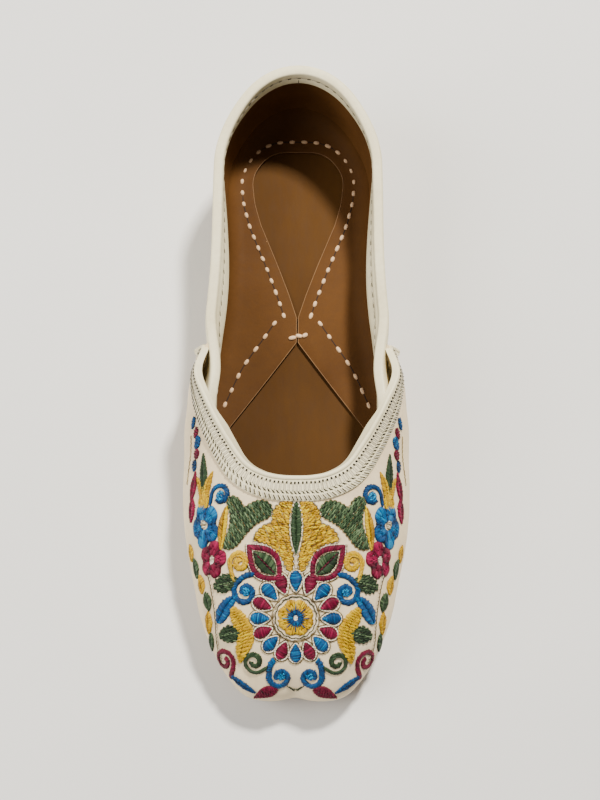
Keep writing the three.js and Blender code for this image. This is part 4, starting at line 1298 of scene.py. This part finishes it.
def thread_material(name, dark, main, light, rough=0.42):
    n = Nodes(name)
    tone = n.add("ShaderNodeAttribute", attribute_name="tone")
    base = n.ramp(tone.outputs["Fac"], [(0.0, srgb(*dark)), (0.5, srgb(*main)), (1.0, srgb(*light))])
    twist = n.noise(2600, 2, 0.5)
    fleck = n.ramp(twist, [(0.3, (0.72, 0.72, 0.72, 1)), (0.65, (1, 1, 1, 1))])
    n.color(n.multiply(base, fleck, 0.7))
    n.bump([(twist, 0.5, 0.06)])
    n.rough(twist, rough, rough + 0.2)
    n.bsdf.inputs["Specular IOR Level"].default_value = 0.22
    n.bsdf.inputs["Sheen Weight"].default_value = 0.03
    return n.material


# Each thread's shade, plain and lit colour
THREAD_COLORS = {
    "blue": ((0, 22, 48), (0, 70, 124), (14, 150, 200)),
    "magenta": ((44, 0, 18), (106, 0, 40), (180, 28, 86)),
    "yellow": ((90, 56, 0), (190, 144, 0), (230, 200, 0)),
    "green": ((14, 26, 12), (42, 64, 36), (114, 136, 96)),
    "gold": ((62, 48, 20), (128, 106, 58), (196, 180, 130)),
    "cream": ((140, 124, 96), (230, 216, 188), (252, 246, 228)),
}
thread_materials = {color: thread_material("thread_" + color, *shades)
                    for color, shades in THREAD_COLORS.items()}
stitch_materials = {
    "cream": thread_material("stitch_cream", (160, 150, 126), (214, 204, 180), (240, 232, 212)),
    # Dark thread colour used as painted shade in needle holes and beside stitches, and for the dark seam
    # at the heel
    "seam_and_hole_shade": thread_material("stitch_seam_and_hole_shade", (14, 12, 10), (58, 52, 40), (134, 126, 104), 0.7),
}


def lay_threads(e, prefix, place, slot_name, materials):
    """One piece for each colour, from chart points laid by a function place."""
    for color, rows in e.rows.items():
        points, lift, tones, width = (np.concatenate(part) for part in zip(*rows))
        p, n = place(points[..., 0], points[..., 1])
        p = p + n * lift[..., None]
        put(thread_mesh(prefix + color, p, n, width, tones), materials[color], slot_name)


def build_embroidery():
    e = Threads()
    for motif in (palmette, side_leaves, framed_leaves, tulips, side_flowers, side_chain, border,
                  scrolls, moons, toe_curls, daisy):
        motif(e)
    lay_threads(e, "embroidery_", on_vamp, "vamp", thread_materials)


# Leather pieces
EDGE_CLEAR = 1.5
LINING_WALL = 0.86
LINING_GAP = 0.04


def build_upper():
    g, v, tris = side_net(1.6, 10, 44)
    s = opening_level(g, v)
    for name, out_size, in_size, material, slot_name in (
            ("upper_leather", UPPER_WALL, LINING_WALL + LINING_GAP, cream, "upper"),
            ("upper_lining", LINING_WALL, 0.0, tan_lining, "lining")):
        outer = Skin(out_size).point(g, v)
        inner = Skin(in_size).point(g, v)
        (outer, inner), kept = clip([outer, inner], tris, s)
        put(shell(name, tucked(outer), tucked(inner), kept), material, slot_name, "upper")


def build_vamp():
    g, v, tris = side_net(1.3, 10, 56, side_station(along(0.09)))
    outer = vamp_skin.point(g, v)
    inner = vamp_back.point(g, v)
    (outer, inner), tris = clip([outer, inner], tris, throat_level(g, v))
    (outer, inner), tris = clip([outer, inner], tris, ear_rear_level(outer))
    upper_part = outer[:, 2] > sole_top(outer[:, 1]) + EDGE_CLEAR
    x, y = flat_of(*vamp_skin.address(outer))
    faces = []
    for side in (1.0, -1.0):
        lift = np.where(upper_part, relief(side * x, y), 0.0)
        face = leaned(outer + vamp_skin.normal(outer) * lift[:, None])
        faces.append(face * np.array([side, 1, 1]))
    vamp = shell("vamp_leather", faces[0], leaned(inner), tris, left=faces[1])
    put(vamp, vamp_cream, "vamp", "vamp")


def throat_band_width(s, y):
    near = ease((y - along(-0.05)) / (along(EAR_TOP[-1][0]) - along(-0.05)))
    end = np.minimum(s, throat.run[-1] - s)
    return np.minimum(BAND_WIDE + (BAND_AT_EARS - BAND_WIDE) * near, 0.6 + end * 0.35)


def lip_profile(depth, band, top):
    """The binding's section: distance from the edge and height over the skin."""
    far = LIP_WIDE + band
    rows = [(LIP_WIDE * 0.75, -depth), (0.0, -depth), (-0.05, -depth * 0.5)]
    for turn in np.radians(np.arange(200, 0, -20)):
        rows.append((LIP_WIDE * 0.55 * (1 + np.cos(turn)), 0.5 + 0.75 * np.sin(turn)))
    for share in (0.0, 0.06, 0.12, 0.25, 0.4, 0.55, 0.7, 0.8, 0.9, 0.97):
        swell = 0.12 * math.sin(math.pi * min(1, share * 1.05))
        rows.append((LIP_WIDE * 1.25 + (band - 0.25 * LIP_WIDE) * share, top - 0.18 + swell))
    rows += [(far, top - 0.35), (far, PIECE_GAP), (LIP_WIDE + band / 2, PIECE_GAP),
             (LIP_WIDE, PIECE_GAP)]
    return [np.stack([np.broadcast_to(row[i], depth.shape) for row in rows], 1) for i in (0, 1)]


def build_throat_binding():
    s = np.linspace(0, throat.run[-1], 520)
    y = throat.sample(s)[0][:, 1]
    deep = VAMP_WALL + PIECE_GAP + UPPER_WALL + PIECE_GAP
    shallow = VAMP_WALL + PIECE_GAP
    back = ease((y - along(-0.105)) / (0.035 * LAST_LENGTH))
    depth = deep + (shallow - deep) * back
    w, n = lip_profile(depth, throat_band_width(s, y), PIECE_GAP + BINDING_WALL)
    binding = loft("throat_binding_leather", leaned(throat.band(s[:, None], w, n)))
    put(binding, binding_cream, "binding", "throat_binding")


def build_throat_stitches():
    """Needle holes painted as dark shade, ladder threads and slanted dashes along the throat band, with
    painted shade beyond the second row of holes and beside each dash.
    """
    e = Threads()
    pitch = 1.45
    middle = throat.run[-1] / 2
    reach = throat.run[int(np.argmax(throat.p[:, 1]))]
    half = abs(middle - reach) - 6.0
    s = middle + np.arange(-half, half, pitch)
    count = len(s)
    wave = rng.normal(0, 0.07, (count, 2))
    fade = np.clip((half - np.abs(s - middle)) / 16, 0.25, 1)
    squeeze = throat_band_width(s, throat.sample(s)[0][:, 1]) / BAND_WIDE

    def ends(shift, across):
        return np.stack([s + shift, LIP_WIDE + (across - LIP_WIDE) * squeeze], -1) + wave

    # The dark rows are painted shade: in the needle holes, in the gap beyond the second row and beside
    # each slanted cream dash
    # Start and end of each stitch, along and across the band, then its looks
    for color, start, end, rise, width, tone, spread in (
            ("seam_and_hole_shade", (0.0, 2.2), (0.05, 2.95), 0.06, 0.68, 0.2 * (1 - fade), 0.12),
            ("seam_and_hole_shade", (-0.15, 5.8), (0.35, 6.7), 0.05, 0.5, 0.3 * (1 - fade), 0.2),
            ("seam_and_hole_shade", (0.45, 6.3), (0.8, 6.9), 0.04, 0.3, 0.5, 0.3),
            ("seam_and_hole_shade", (0.4, 7.5), (1.25, 9.2), 0.05, 0.36, 0.4, 0.2),
            ("cream", (0.42, 2.5), (0.5, 5.8), 0.03, 0.34, 0.5, 0.12),
            ("cream", (0.95, 2.7), (1.05, 6.0), 0.03, 0.34, 0.35, 0.12),
            ("cream", (-0.2, 7.2), (0.75, 9.3), 0.09, 0.42, 0.6, 0.12)):
        e.strokes(color, ends(*start), ends(*end), rise=rise, ends=0.0, width=width, tone=tone,
                  spread=spread, mirror=False)
    top = PIECE_GAP + BINDING_WALL - 0.06

    def place(run, w):
        p = throat.band(run, w, 0.0)
        n = vamp_skin.normal(p)
        return leaned(p + n * top), n
    lay_threads(e, "throat_stitch_", place, "binding", stitch_materials)


def topline_edges():
    g = np.linspace(side_station(along(-0.088)), END, 170)
    outer_side = upper_skin.point(g, edge_share(g))
    outer_side[-1, 0] = 0
    normal = upper_skin.normal(outer_side)
    inner_side = lining_skin.onto(outer_side - normal * UPPER_WALL)
    inner_side[-1, 0] = 0

    def edge(side, surface):
        return Edge(with_mirror(side), surface, lambda q: np.tile([0.0, 0, -1], (len(q), 1)))
    return edge(outer_side, upper_skin), edge(inner_side, lining_skin)


topline_out, topline_in = topline_edges()


def band_stand(y):
    """How far the lower edge of the inner band stands off the lining."""
    front = 4.0 * np.sin(math.pi / 2 * np.clip((80 - y) / 62, 0, 1))
    front = np.maximum(front - tuck(y), 0.0) * ease((y + 24) / 12)
    return front + 1.5 * ease((y - 95) / 25)


def stand_off(y, down):
    """The inner band's distance from the lining at a distance down from its edge."""
    return band_stand(y) * (down / INNER_BAND) ** 0.85


def build_topline_binding():
    near = FOLD_GAP
    far = FOLD_GAP + BINDING_WALL
    columns = []

    def outer(down, off):
        columns.append(topline_out.band(topline_out.run, down, off))

    def inner(down, off):
        away = off + stand_off(topline_in.p[:, 1], down)
        columns.append(topline_in.band(topline_in.run, down, -away))

    def over(mix, up, off):
        a = topline_out.p - topline_out.out * up + topline_out.normal * off
        b = topline_in.p - topline_in.out * up - topline_in.normal * off
        columns.append(a * (1 - mix) + b * mix)

    outer(5.0, far - 0.25)
    for down in (4.6, 3.5, 2.2, 1.0, 0.001):
        outer(down, far)
    for mix, turns in ((0.0, [20, 40, 60, 80]), (1.0, [80, 60, 40, 20])):
        for turn in np.radians(turns):
            over(mix, far * math.sin(turn), far * math.cos(turn) * 0.9 + 0.1)
    for down, dip in ((0.001, 0), (0.8, 0), (1.6, 0), (2.0, 0.22), (2.4, 0), (3.2, 0), (4.4, 0),
                      (5.4, 0), (INNER_BAND, 0.25)):
        inner(down, far - dip)
    inner(INNER_BAND, near)
    inner(INNER_BAND / 2, near)
    over(1.0, near, near)
    over(0.0, near, near)
    outer(2.5, near)
    outer(5.0, near)
    binding = loft("topline_binding_leather", tucked(np.stack(columns, 1)))
    put(binding, binding_cream, "binding", "topline_binding")


def build_topline_stitches():
    """A row of short stitches along the inner band, with painted shade in the stitch holes, and a dark
    seam line for the join at the heel.
    """
    e = Threads()
    pitch = 4.2
    length = 1.5
    s = np.arange(14.0, topline_in.run[-1] - 14.0, pitch)
    level = np.full(len(s), 2.0)
    # Dark ticks: painted shade in the stitch holes
    e.strokes("seam_and_hole_shade", np.stack([s, level], -1), np.stack([s + length, level + 0.3], -1),
              rise=0.02, ends=0.02, width=0.5, tone=0.75, spread=0.15, mirror=False)
    e.strokes("cream", np.stack([s + length + 0.2, level], -1),
              np.stack([s + pitch - 0.2, level], -1), rise=0.1, ends=0.0, width=0.4, tone=0.35,
              mirror=False)
    middle = topline_in.run[-1] / 2
    e.strokes("seam_and_hole_shade", [(middle, 3.4)], [(middle, INNER_BAND)], rise=0.02, ends=0.02, width=0.4, tone=1.0,
              mirror=False)

    def place(run, w):
        p = topline_in.band(run, w, 0.0)
        n = -lining_skin.normal(p)
        away = FOLD_GAP + BINDING_WALL - 0.1 + stand_off(p[..., 1], w)
        return tucked(p + n * away[..., None]), n
    lay_threads(e, "topline_stitch_", place, "binding", stitch_materials)


# The insole's flaps: their inner edge, shares of the ball width along the sides and of the
# heel width round the heel
FLAP_SIDE = [(-0.1034, 0.415), (-0.0645, 0.328), (0.0825, 0.000), (0.1193, 0.000),
             (0.1601, 0.040), (0.2132, 0.099), (0.2868, 0.186), (0.3235, 0.216)]
FLAP_HEEL = [(0, 0.312), (17, 0.334), (41, 0.357), (62, 0.361), (90, 0.336)]
FLAP_SLIT = 0.6
FLAP_THICK = 1.2
FLAP_TURN_UP = 5.0
STITCH_INSET = 4.8
INSOLE_TOP = PIECE_GAP + 2.0
FLAP_LOW = INSOLE_TOP + PIECE_GAP
FLAP_TOP = FLAP_LOW + FLAP_THICK
heel_inner = level_curve([HEEL_SIDE + math.radians(t) * HEEL_R for t, _ in FLAP_HEEL],
                         [o * HEEL for _, o in FLAP_HEEL])


def flap_inner(g):
    side = np.interp(g, [side_station(along(a)) for a, _ in FLAP_SIDE] + [HEEL_SIDE],
                     [o * BALL for _, o in FLAP_SIDE] + [FLAP_HEEL[0][1] * HEEL])
    return np.maximum(np.where(g < HEEL_SIDE, side, heel_inner(g)), FLAP_SLIT / 2)


def on_rib(g, radius, above):
    """A point at a radius along a rib, above the sole's top."""
    cy, dx, dy = rib_frame(g)
    y = cy + dy * radius
    return np.stack([dx * radius, y, sole_top(y) + above], -1)


def wall_radius(g, above):
    """The lining's inner face at a height above the sole's top."""
    rise = np.clip((above - PIECE_GAP) / (up_at(g) - PIECE_GAP), 0, 1)
    return foot_at(g) + (belly_at(g) - foot_at(g)) * (1 - (1 - rise) ** 2)


def build_flaps():
    """A horseshoe of leather on the insole that turns up a little against the wall."""
    corners = [side_station(along(a)) for a, _ in FLAP_SIDE[1:]]
    g = np.unique(np.concatenate([np.linspace(side_station(along(-0.1034)), END, 260), corners]))
    inner = flap_inner(g)
    rows = [(inner, FLAP_LOW), (inner, FLAP_TOP - 0.4), (inner + 0.12, FLAP_TOP - 0.1),
            (inner + 0.45, FLAP_TOP)]
    start = np.maximum(foot_at(g) - PIECE_GAP - 4.5, inner + 0.6)
    for share in (0.25, 0.5, 0.75, 1.0):
        rows.append((inner + 0.45 + (start - inner - 0.45) * share, FLAP_TOP))
    for turn in np.radians([12, 24, 36, 48, 60, 72, 84, 90]):
        above = FLAP_TOP + FLAP_TURN_UP * (1 - math.cos(turn))
        wall = wall_radius(g, above) - 0.12
        rows.append((start + (wall - start) * math.sin(turn), above))
    high = FLAP_TOP + FLAP_TURN_UP
    rows += [(wall_radius(g, high) - 0.04, high), (foot_at(g) - PIECE_GAP, FLAP_LOW)]
    side = np.stack([on_rib(g, r, above) for r, above in rows], 1)
    put(loft("flap_leather", with_mirror(side), sharp=60), flap_tan, "insole", "lining_flaps")
    rim = with_mirror(on_rib(g, inner + 0.1, FLAP_TOP - 0.02))
    put(cord_mesh("flap_cut_edge", rim, 0.17), cut_edge, "insole")


def cord_mesh(name, path, radius):
    """A thin six-sided cord along a path."""
    t = unit(np.gradient(path, axis=0))
    across = unit(np.cross(t, [0.0, 0, 1]))
    up = np.cross(across, t)
    turns = np.linspace(0, 2 * math.pi, 6, endpoint=False)[None, :, None]
    ring = across[:, None] * np.cos(turns) + up[:, None] * np.sin(turns)
    return loft(name, path[:, None] + radius * ring, sharp=80)


def flap_row(line, count):
    """Evenly spaced points on the flaps' top along a line in plan."""
    plan = evenly(line, count)
    return np.stack([plan[:, 0], plan[:, 1], sole_top(plan[:, 1]) + FLAP_TOP], -1)


def bead_mesh(name, at, heading, length, width, height):
    """Plump stitches: flattened beads that lie along their headings."""
    steps = 8
    around = 10
    points, faces = [], []
    for p, d, size in zip(at, heading, rng.uniform(0.85, 1.12, len(at))):
        d = unit(d)
        across = unit(np.cross([0.0, 0, 1], d))
        up = np.cross(d, across)
        base = len(points)
        for i in range(steps + 1):
            a = math.pi * (i + 0.08) / (steps + 0.16)
            for j in range(around):
                b = 2 * math.pi * j / around
                points.append(p - d * (length / 2 * math.cos(a) * size)
                              + across * (width / 2 * math.sin(a) ** 0.8 * math.cos(b))
                              + up * (height * (math.sin(a) ** 0.8 * math.sin(b) - 0.15)))
        for i in range(steps):
            for j in range(around):
                k = base + i * around
                n = (j + 1) % around
                faces.append((k + j, k + n, k + around + n, k + around + j))
        faces.append(tuple(base + j for j in range(around))[::-1])
        faces.append(tuple(base + steps * around + j for j in range(around)))
    return make_object(name, points, faces, weld=False)


def build_flap_stitches():
    """Rows of plump cream stitches round the heel and down both tongues, a dark cord of painted shade
    along each row, and the knot.
    """
    g = np.linspace(side_station(along(0.1193)), END, 160)
    edge = evenly(on_rib(g, flap_inner(g), FLAP_TOP)[:, :2], 160)
    t = unit(np.gradient(edge, axis=0))
    row = edge + np.stack([t[:, 1], -t[:, 0]], -1) * STITCH_INSET
    row = row[(row[:, 1] > 27) & (row[:, 0] > 5.5) | (row[:, 1] > 60)]
    row[-1, 0] = 0
    loop = np.vstack([row, row[-2::-1] * np.array([-1.0, 1])])
    diagonal = np.array([(9.5, 28.5), (14.0, 22.0), (19.5, 14.5), (23.5, 8.5), (29.5, -5.5)])
    rows = [loop, diagonal, diagonal * np.array([-1.0, 1])]
    for k, (line, pitch) in enumerate(zip(rows, (5.1, 7.2, 7.2))):
        smooth = smooth_line(line)
        at = flap_row(smooth, int(round(length_of(smooth) / pitch)) + 1)
        heading = np.gradient(at, axis=0)
        heading = heading + rng.normal(0, 0.25, heading.shape) * np.array([1, 1, 0])
        put(bead_mesh(f"flap_stitch_{k + 1}", at, heading, 2.7, 1.7, 0.7), bead_thread, "lining")
        # A dark cord sunk along each row: painted shade in the groove between the stitches
        groove = flap_row(smooth, 120)
        groove[:, 2] -= 0.30
        put(cord_mesh(f"flap_groove_shade_{k + 1}", groove, 0.42), painted_groove_shade, "lining")
    knot = np.array([(-2.0, 22.5, 0), (0.7, 23.3, 0), (3.2, 23.6, 0)])
    knot[:, 2] = sole_top(knot[:, 1]) + FLAP_TOP + 0.2
    heading = np.array([(1.0, 0.2, 0), (1.0, -0.2, 0), (0.8, 0.5, 0)])
    put(bead_mesh("flap_knot", knot, heading, 3.0, 1.9, 0.8), bead_thread, "lining")


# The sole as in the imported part, with rounded edges
OUTSOLE_MARGIN = 0.8
HEEL_MARGIN = 0.8
HEEL_BREAST = 0.250


def outsole_radius(g):
    cy, _, dy = rib_frame(g)
    bare = ease((cy + dy * foot_at(g) - along(EAR_REAR[0][0])) / (0.1 * LAST_LENGTH))
    return foot_at(g) + UPPER_WALL + OUTSOLE_MARGIN + (VAMP_OUTER - UPPER_WALL) * (1 - bare)


def above_sole(height):
    return lambda y: sole_top(y) + height


def slab(name, g, radius, rows, material, slot_name, node):
    """A closed slab from rings: share of the radius, inset, and height as a function of y."""
    rings = []
    for share, inset, height in rows:
        side = on_rib(g, (radius - inset) * share, 0.0)
        side[:, 2] = height(side[:, 1])
        rings.append(np.vstack([side, side[:0:-1] * np.array([-1.0, 1, 1])]))
    put(loft(name, np.array(rings), caps=False), material, slot_name, node)


def flat_rings(inset, height):
    """Rings that fill a slab's face in to its middle line."""
    return [(share, inset, height) for share in (0.85, 0.7, 0.5, 0.3, 0.15, 0.0)]


def build_insole():
    g = np.linspace(0, END, 200)
    low, top = above_sole(PIECE_GAP), above_sole(INSOLE_TOP)
    rows = flat_rings(0.3, low)[::-1] + [(1, 0.3, low), (1, 0, above_sole(PIECE_GAP + 0.3))]
    rows += [(1, 0, above_sole(INSOLE_TOP - 0.4)), (1, 0.15, above_sole(INSOLE_TOP - 0.1))]
    rows += [(1, 0.5, top)] + flat_rings(0.5, top)
    slab("insole_leather", g, foot_at(g) - PIECE_GAP, rows, brown_insole, "insole", "insole")


def build_sole():
    g = np.linspace(0, END, 260)
    groove = OUTSOLE_THICK * 0.52
    layers = [(0.7, 0.0), (0.2, 0.2), (0.0, 0.6), (0.0, groove - 0.18), (0.14, groove),
              (0.0, groove + 0.18), (0.0, OUTSOLE_THICK - 0.6), (0.2, OUTSOLE_THICK - 0.2),
              (0.7, OUTSOLE_THICK)]
    rows = flat_rings(0.7, above_sole(0.0))[::-1]
    rows += [(1, inset, above_sole(-down)) for inset, down in layers]
    rows += flat_rings(0.7, above_sole(-OUTSOLE_THICK))
    slab("outsole_leather", g, outsole_radius(g), rows, sole_leather, "outsole", "outsole")

    g = np.linspace(side_station(along(HEEL_BREAST)), END, 120)
    under = OUTSOLE_THICK + PIECE_GAP
    margin = HEEL_MARGIN

    def lift(share, step=0.0):
        return lambda y: (sole_top(y) - under) * share + step
    rows = flat_rings(margin + 0.35, lift(0))[::-1]
    rows += [(1, margin + 0.35, lift(0)), (1, margin, lift(0, 0.35))]
    for share in (0.36, 0.70):
        for inset, step in ((0.0, -0.14), (0.16, 0.0), (0.0, 0.14)):
            rows.append((1, margin + inset, lift(share, step)))
    rows += [(1, margin, lift(1))] + flat_rings(margin, lift(1))
    slab("heel_lift_leather", g, outsole_radius(g), rows, heel_leather, "heel_lift", "heel_lift")


for build in (build_upper, build_vamp, build_embroidery, build_throat_binding,
              build_throat_stitches, build_topline_binding, build_topline_stitches, build_flaps,
              build_flap_stitches, build_sole, build_insole):
    build()


# Floor, light, camera: from here on in metres
FLOOR_HALF = 2.5
CAMERA_AIM = (0, 0, 0.025)
CAMERA_AWAY = 0.575
CAMERA_DOWN = math.radians(75)
CAMERA_ROLL = math.radians(0.3)
PHOTO_HEIGHT = 800
KEY_AT = (0.37, 0.75, 1.25)
FILL_AT = (-0.85, -0.1, 0.8)
LIGHT_AIM = (0, 0, 0.02)


def build_stage():
    n = Nodes("floor_paint")
    cloud = n.noise(6, 3, 0.55)
    n.color(n.ramp(cloud, [(0.3, srgb(224, 222, 218)), (0.7, srgb(230, 228, 224))]))
    n.rough(cloud, 0.75, 0.85)
    mesh = bpy.data.meshes.new("floor")
    r = FLOOR_HALF
    mesh.from_pydata([(-r, -r, 0), (r, -r, 0), (r, r, 0), (-r, r, 0)], [], [(0, 1, 2, 3)])
    mesh.materials.append(n.material)
    floor = placed("floor", mesh)


def area_light(name, at, size, power, color):
    data = bpy.data.lights.new(name, "AREA")
    data.energy = power
    data.size = size
    data.color = color
    obj = placed(name, data)
    obj.location = at
    obj.rotation_euler = (Vector(LIGHT_AIM) - Vector(at)).to_track_quat("-Z", "Y").to_euler()


def build_camera():
    """The photo's camera, with its shift given in pixels of the photo."""
    c, s = math.cos(CAMERA_ROLL), math.sin(CAMERA_ROLL)
    forward = np.array([0, math.cos(CAMERA_DOWN), -math.sin(CAMERA_DOWN)])
    level = np.array([1.0, 0, 0])
    upright = np.cross(level, forward)
    right = c * level + s * upright
    up = -s * level + c * upright
    place = np.array(CAMERA_AIM) - forward * CAMERA_AWAY
    data = bpy.data.cameras.new("photo_camera")
    data.sensor_fit = "VERTICAL"
    data.sensor_height = 24
    data.lens = 43.2
    data.shift_x = 3 / PHOTO_HEIGHT
    data.shift_y = -19 / PHOTO_HEIGHT
    data.clip_start = 0.01
    data.clip_end = 20
    obj = placed("photo_camera", data)
    columns = np.stack([right, up, -forward, place], 1)
    obj.matrix_world = Matrix(np.vstack([columns, [0, 0, 0, 1]]).tolist())
    bpy.context.scene.camera = obj


def build_world():
    world = bpy.data.worlds.new("studio")
    bpy.context.scene.world = world
    world.use_nodes = True
    back = world.node_tree.nodes["Background"]
    back.inputs["Color"].default_value = (1.0, 0.99, 0.97, 1)
    back.inputs["Strength"].default_value = 0.26


build_stage()
area_light("key", KEY_AT, 0.16, 47.0, (1.0, 0.965, 0.89))
area_light("fill", FILL_AT, 0.8, 14.0, (1.0, 0.98, 0.94))
build_camera()
build_world()
